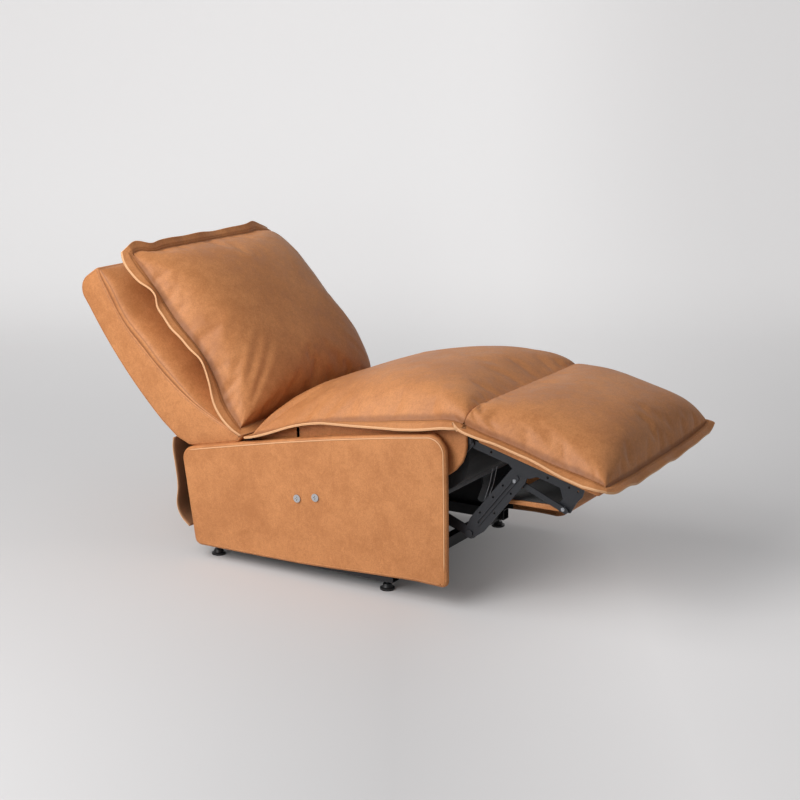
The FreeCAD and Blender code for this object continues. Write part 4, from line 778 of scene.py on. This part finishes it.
padSettings = {
    # in mm along, across and forward of the shell's seam
    "low": -96, "high": 492, "rows": 64, "columns": 84, "half": 333.5, "underHalf": 328,
    "crown": 56, "footDrop": 48, "bulge": 5.0, "sag": 1.8, "sagWave": 27.0,
    # the cushion lies on it: no point comes further forward than this, and than this more below
    "most": 146, "mostFoot": 54,
    # shares of the half width: painted shade along the seam line round its rim, and a soft line of
    # painted shade inside it
    "rimShade": 0.004, "creaseShadeAt": 0.0115, "creaseShadeWide": 0.0022, "creaseShadeStrength": 0.8,
}


def makeFrontPad():
    # the puffed panel inside the shell's seam, which rolls round onto the shell's sides
    # forward of the seam it rises by crown * (1 - |a| ** 5) ** 0.42 * its end's drop
    here = padSettings
    share, end = np.meshgrid(crowded(here["columns"]), crowded(here["rows"]))
    along = here["low"] + (here["high"] - here["low"]) * (end + 1) / 2
    ends = (1 - np.abs(end) ** 9) ** 0.5
    full = (1 - np.abs(share) ** 5) ** 0.42 * ends
    foot = np.clip((150 - along) / 200, 0, 1)           # 1 at its foot, 0 from 150 mm upward
    side = np.abs(share) ** 4
    seam = shellSeam(along) - 2
    rise = (here["crown"] - here["footDrop"] * foot ** 0.8) * full
    bulge = here["bulge"] * np.sin(np.clip(full, 0, 1) * math.pi) * (1 - foot) * side
    across = share * here["half"] + np.sign(share) * bulge
    sag = here["sag"] * np.sin(along / here["sagWave"] + 2 * share) * side * ends * (1 - foot)
    lift = np.minimum(seam + rise + sag, here["most"] + here["mostFoot"] * foot ** 1.2)
    top = np.stack([across, *onShell(along, np.maximum(lift, seam))], axis=-1)
    under = np.stack([share * here["underHalf"], *onShell(along, seam - 6)], axis=-1)
    inwards = 1 - np.maximum(np.abs(share), np.abs(end))
    # painted shade: dark along the seam round the rim, and in a soft line just inside it
    edge = np.clip(1 - inwards / here["rimShade"], 0, 1) \
        + here["creaseShadeStrength"] * np.exp(-((inwards - here["creaseShadeAt"]) / here["creaseShadeWide"]) ** 2)
    edge = np.clip(edge, 0, 1).ravel()
    pad = closedGrid("frontPad", top / 1000, under / 1000, {"creaseShade": np.concatenate([edge, edge])})
    finishSoft(pad, "back", ["back_front_pad"])


railSettings = {
    # Y, Z and radius of its corners, in mm, then its half width and its rim
    "corners": [(-333, 285, 8), (-325, 293, 0), (-325, 436, 0), (-365, 436.5, 20), (-384, 369, 60),
                (-372, 318, 20)],
    "half": 291,
    "profile": [(7, 0.4, 0, 0), (5, 1.0, 0, 0), (4.4, 1.6, 0, 1), (3.8, 1.2, 0, 0),
                (1.4, 3.0, 0, 0), (0.2, 6.0, 0, 0), (0, 9.0, 0, 0)],
}


def makeFrontRail():
    # the padded rail across the seat's front, covered in black cloth
    here = railSettings
    rail = slab("frontRail", rounded(here["corners"], 8), -here["half"], here["half"],
                here["profile"])
    finishSoft(rail, "seat", ["seat_front_rail"], "black_cloth")


sideSettings = {
    # mm: X of its two faces, where its caps start, points per corner, corners and rim
    "seatSide_": {
        "x": (303, 314), "apex": (-390, 428), "steps": 8,
        "corners": [(110, 345, 8), (110, 395, 0), (0, 420, 0), (-120, 430, 0), (-240, 440, 0),
                    (-330, 449, 0), (-387, 453, 8), (-390, 428, 0), (-390.5, 408, 0),
                    (-387, 388, 0), (-378.5, 366, 0), (-360, 344, 0), (-335, 326, 0),
                    (-300, 318, 20), (-200, 330, 30)],
        "profile": [(5, 0.0, 0, 0), (3.2, 0.3, 0, 0), (1.4, 1.4, 0, 0), (0.3, 3.0, 0, 0),
                    (0, 5.0, 0, 0)]},
    "seatSideTail_": {
        "x": (309.6, 314), "apex": (254, 347), "steps": 4,
        "corners": [(254, 344, 2), (254, 351, 2), (163, 377, 0), (96, 397, 0), (96, 345, 2)],
        "profile": [(0.4, 0.0, 0, 0), (0, 1.2, 0, 0)]},
}


def makeSeatSides():
    # the leather wrap of the seat's timber side rails: a padded front, and a thin tail behind it
    for side, sign in (("right", -1), ("left", 1)):
        for name, here in sideSettings.items():
            low, high = sorted(sign * x for x in here["x"])
            made = slab(name + side, rounded(here["corners"], here["steps"]), low, high,
                        here["profile"], here["apex"])
            finishSoft(made, "seat",
                       ["seat_side_rail_" + side] if name == "seatSide_" else ())


skirtSettings = {
    # Y and Z in mm down its middle, then metres
    "path": [(485, 321), (488, 299), (484, 258), (478, 215), (477, 175), (481, 140), (469, 106),
             (440, 80)],
    "half": 0.346, "thick": 0.0018, "rows": 44, "columns": 60, "ripple": 0.0045,
    "sideRipple": 0.004, "paleEdge": 0.004,
}


def makeSkirt():
    # a slack leather flap behind the base: a thin sheet hung from the back's foot
    # Y ripples by ripple * sin(21 x + 0.8) * sin(pi * share down it), and again at the far side
    here = skirtSettings
    rows, columns, half = here["rows"], here["columns"], here["half"]
    path = spline(here["path"], rows) / 1000
    across = np.linspace(-half, half, columns)
    share = np.linspace(0, 1, rows)[:, None]
    ripple = here["ripple"] * np.sin(across * 21 + 0.8)[None, :] * np.sin(share * math.pi) \
        + here["sideRipple"] * np.sin(share * 9 + 1.0) * np.clip(across / half, 0, 1)[None, :] ** 6
    x = np.repeat(across[None, :], rows, axis=0)
    outer = np.stack([x, path[:, :1] + ripple, np.repeat(path[:, 1:], columns, axis=1)], axis=-1)
    edge = np.clip(1 - (half - np.abs(x)) / here["paleEdge"], 0, 1).ravel()
    skirt = closedGrid("rearSkirt", outer, outer - np.array([0, here["thick"], 0]), {
        "pale": np.concatenate([edge, edge * 0.6]),
        "suede": np.repeat([0.0, 1.0], rows * columns)})
    finishSoft(skirt, None, ["rear_skirt"])
    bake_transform(skirt)


# the rim that both boards share, as slab reads it
boardRim = [(2.6, 0.3, 0, 0), (1.0, 1.2, 0, 0), (0.2, 3.0, 0, 0), (0, 5.0, 0, 0)]


def wrapped(name, node, body, corners, profile, apex=None):
    # a leather-covered board in place of a CAD node, over the node's own width
    low, high = (np.array(corner) * 1000 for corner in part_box(node))
    board = slab(name, rounded(corners, 6), low[0], high[0], profile, apex)
    finishSoft(board, body, [node])


apronSettings = {
    # mm: where the outline is counted from, ahead of and below the node's front top corner
    "from": (8, 12), "apex": (18, 12),
    "corners": [(12, 12, 5), (8, -36, 9), (18, -46.5, 10), (196, -48, 5), (196, -36, 4),
                (24.5, -31, 6), (25, 12, 5)],
}


def makeApron():
    # the padded board under the footrest, with a lip along its front
    low, high = (np.array(corner) * 1000 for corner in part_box("apron_board"))
    (ahead, below), (apexY, apexZ) = apronSettings["from"], apronSettings["apex"]
    y, z = low[1] - ahead, high[2] - below
    wrapped("apron", "apron_board", "apron",
            [(y + over, z + up, radius) for over, up, radius in apronSettings["corners"]],
            [(4.4, 0.0, 0, 0), *boardRim], (y + apexY, z + apexZ))


boardSettings = {
    # in mm: how far along the footrest's slope from the hinge, and off it
    "slope": 15.4, "hinge": (-392, 421), "places": [(20, 4), (20, 19), (352, 19), (352, 4)],
}


def makeFootBoard():
    # the board under the footrest's cushion, wrapped in the same leather
    slope = math.radians(boardSettings["slope"])
    along = np.array([-math.cos(slope), -math.sin(slope)])
    up = np.array([-math.sin(slope), math.cos(slope)])
    places = [np.array(boardSettings["hinge"]) + along * far + up * off
              for far, off in boardSettings["places"]]
    wrapped("footrestBoard", "footrest_board", "footrest", [(*place, 4) for place in places],
            [(5, 0.0, 0, 0), *boardRim])


materials = {}

leatherSettings = {
    # each noise's scale in waves per metre, detail, roughness and distortion
    "large": (5.5, 4.0, 0.55), "middle": (30.0, 4.0, 0.6, 0.4), "fine": (120.0, 3.0, 0.65, 0.2),
    "speckle": (300.0, 2.0, 0.6), "wrinkle": (55.0, 5.0, 0.6, 0.8), "pores": 620.0,
    "shares": (0.42, 0.33, 0.25), "deep": (183, 119, 71), "light": (211, 144, 91),
    # each tint: the mark from and to which it comes in, how strong it gets, and its colour
    "speckles": ((0.35, 0.7, (0.0, 0.24)), (140, 86, 48)),
    "suede": ((0.2, 0.9), (150, 108, 78)),
    # the crease mark and its dark tint: painted shade in seams and creases
    "creaseShade": ((0.0, 1.0, (0.0, 0.5)), (110, 64, 38)),
    "pale": ((0.15, 1.0, (0.0, 0.85)), (232, 182, 136)),
    "shade": (0.34, 0.68), "rough": (0.3, 0.7, (0.44, 0.58)), "specular": 0.3,
    "wrinkleDeep": (0.0012, 0.5), "poresDeep": (0.0003, 0.55),
}


def leather():
    here = leatherSettings
    shader = Shader("leather")
    where = shader.place()
    large, middle, fine, speckle = (shader.noise(where, *here[name])
                                    for name in ("large", "middle", "fine", "speckle"))
    pores = shader.cells(where, here["pores"])
    most, some, least = here["shares"]
    shade = shader.spread(large * most + middle * some + fine * least, *here["shade"])
    colour = shader.mix(shade, fromScreen(*here["deep"]), fromScreen(*here["light"]))
    # the crease tint darkens seams and creases as painted shade
    for name, amount in (("speckles", speckle), ("suede", shader.mark("suede")),
                         ("creaseShade", shader.mark("creaseShade")), ("pale", shader.mark("pale"))):
        reach, tint = here[name]
        colour = shader.mix(shader.spread(amount, *reach), colour, fromScreen(*tint))
    normal = shader.bump(shader.noise(where, *here["wrinkle"]), *here["wrinkleDeep"])
    normal = shader.bump(pores, *here["poresDeep"], normal)
    return shader.finish(colour=colour, roughness=shader.spread(middle, *here["rough"]),
                         normal=normal, specular=here["specular"])


plainSettings = {
    # name, colour on screen, roughness, metallic, the grain's depth in m and strength, its scale
    "black_steel": ("blackSteel", (34, 36, 41), 0.38, 0.0, (0.0002, 0.25), 700.0),
    "zinc_steel": ("zincSteel", (176, 179, 184), 0.3, 1.0, (0.0001, 0.15), 500.0),
    "nickel": ("nickel", (205, 205, 206), 0.2, 1.0, None, None),
    "black_plastic": ("blackPlastic", (26, 26, 28), 0.5, 0.0, (0.0002, 0.2), 900.0),
}


def plain(name, screen, roughness, metallic, grain, scale):
    # one even colour that drifts a little, in tint and in roughness
    shader = Shader(name)
    where, colour = shader.place(), fromScreen(*screen)
    drift = shader.noise(where, 30.0, 3.0)
    tint = shader.mix(shader.spread(drift, 0.35, 0.7, (0.0, 0.35)), colour,
                      tuple(part * 0.72 for part in colour))
    rough = shader.spread(drift, 0.3, 0.7, (roughness * 0.85, roughness * 1.15))
    inputs = {"colour": tint, "roughness": rough, "metallic": metallic}
    if grain:
        inputs["normal"] = shader.bump(shader.noise(where, scale, 2.0), *grain)
    return shader.finish(**inputs)


grainedSettings = {
    # timber grain in dark colours; the darkness is painted shade, so that board edges in gaps
    # between parts read as shadowed gaps
    "timber": {"name": "timber", "stretch": (1.5, 1.0, 14.0), "rings": (9.0, 4.0, 0.6, 0.3),
               "shade": (0.3, 0.7), "dark": (52, 42, 34), "light": (78, 62, 48),
               "bump": (0.0006, 0.4), "finish": {"roughness": 0.7}},
    "black_cloth": {"name": "blackCloth", "threads": 900.0, "shade": (0.0, 0.6),
                    "dark": (14, 14, 15), "light": (38, 38, 41), "bump": (0.0004, 0.6),
                    "finish": {"roughness": 0.95, "sheen": 0.2}},
}


def grained(settings):
    # two shades by one pattern: rings of timber, or the threads of a weave
    shader = Shader(settings["name"])
    if "rings" in settings:
        pattern = shader.noise(shader.place(settings["stretch"]), *settings["rings"])
    else:
        pattern = shader.cells(shader.place(), settings["threads"])
    colour = shader.mix(shader.spread(pattern, *settings["shade"]), fromScreen(*settings["dark"]),
                        fromScreen(*settings["light"]))
    return shader.finish(colour=colour, normal=shader.bump(pattern, *settings["bump"]),
                         **settings["finish"])


def makeMaterials():
    materials["leather"] = leather()
    for slot, settings in plainSettings.items():
        materials[slot] = plain(*settings)
    for slot, settings in grainedSettings.items():
        materials[slot] = grained(settings)


backdropSettings = {
    # metres walked along the sweep, and its own glow there; then what the right side adds; the side
    # settings take glow off the right side as painted shade
    "glow": [(-9, 0.0), (-1.0, 0.0), (0.0, 0.02), (1.0, 0.16), (2.0, 0.30), (3.2, 0.46),
             (4.0, 0.52), (5.0, 0.54), (9, 0.54)],
    "rightLift": [(-9, 0.22), (-1.4, 0.24), (-1.0, 0.25), (-0.6, 0.28), (0.2, 0.18), (1.2, 0.15),
                  (3.0, 0.06), (5.0, 0.02), (9, 0.02)],
    "sideFrom": 0.3, "sideShade": 0.10, "floor": 3.2, "radius": 1.6, "columns": 61,
}


def eased(share):
    # from 0 to 1 with soft ends
    return share * share * (3 - 2 * share)


def makeBackdrop():
    # a pale sweep: a level floor that curves up into a wall, a quarter circle between them
    # its own glow, seen only by the camera and in mirrors, evens it out; shadows stay on it
    here = backdropSettings
    floor, radius, columns = here["floor"], here["radius"], here["columns"]
    turned = np.linspace(0.05, math.pi / 2, 24)
    depth = np.concatenate([np.linspace(-9, floor, 40), floor + radius * np.sin(turned),
                            np.full(8, floor + radius)])
    height = np.concatenate([np.zeros(40), radius - radius * np.cos(turned),
                             np.linspace(1.8, 8, 8)])
    points = np.stack([*np.meshgrid(np.linspace(-9, 9, columns), depth),
                       np.repeat(height[:, None], columns, axis=1)], axis=-1).reshape(-1, 3)
    walk = points[:, 1] + points[:, 2]
    side = np.clip((points[:, 0] - here["sideFrom"]) / 1.6, 0, 1)
    share = eased(side) * np.clip((walk + 0.4) / 1.2, 0, 1)
    right = np.clip((points[:, 0] + 0.1) / 0.75, 0, 1)
    # less glow towards the right side, from just behind the floor's front: painted shade
    glow = readTable(here["glow"], walk) - here["sideShade"] * share \
        + readTable(here["rightLift"], walk) * eased(right)
    turn = math.radians(cameraSettings["azimuth"])
    spin = np.array([[math.cos(turn), -math.sin(turn), 0], [math.sin(turn), math.cos(turn), 0],
                     [0, 0, 1]])
    sweep = makeMesh("backdrop", points @ spin.T, gridFaces(len(depth), columns),
                     {"glow": np.clip(glow, 0, 1)})
    shader = Shader("backdrop")
    drift = shader.spread(shader.noise(shader.place(), 0.35, 1.0), 0.3, 0.7)
    colour = shader.mix(drift, fromScreen(206, 205, 205), fromScreen(201, 199, 199))
    light = shader.mix(shader.mark("glow") * shader.seen(), (0.0, 0.0, 0.0), (1.0, 0.985, 0.98))
    sweep.data.materials.append(shader.finish(colour=colour, roughness=0.9, specular=0.1,
                                              glow=light))


def setWorld():
    world = bpy.data.worlds.new("studio")
    world.use_nodes = True
    ground = world.node_tree.nodes["Background"]
    ground.inputs["Color"].default_value = (0.95, 0.97, 1.0, 1.0)
    ground.inputs["Strength"].default_value = 0.22
    scene.world = world


scene.view_settings.view_transform = "Standard"
makeMaterials()
slots = {part["node"]: part["material_slot"] for part in frame["record"]["subparts"]}
for node, thing in nodes.items():
    dress(thing, slots[node])
print("materials made")
makeSidePanels()
makeShell()
makeFrontPad()
makeFrontRail()
makeSeatSides()
makeSkirt()
makeApron()
makeFootBoard()
print("leather pieces made")
makeCushions()
makeKnee()
print("cushions made")
makeBackdrop()
setWorld()
makeLamps()
makeCamera()
print("backdrop, lamps and camera made")
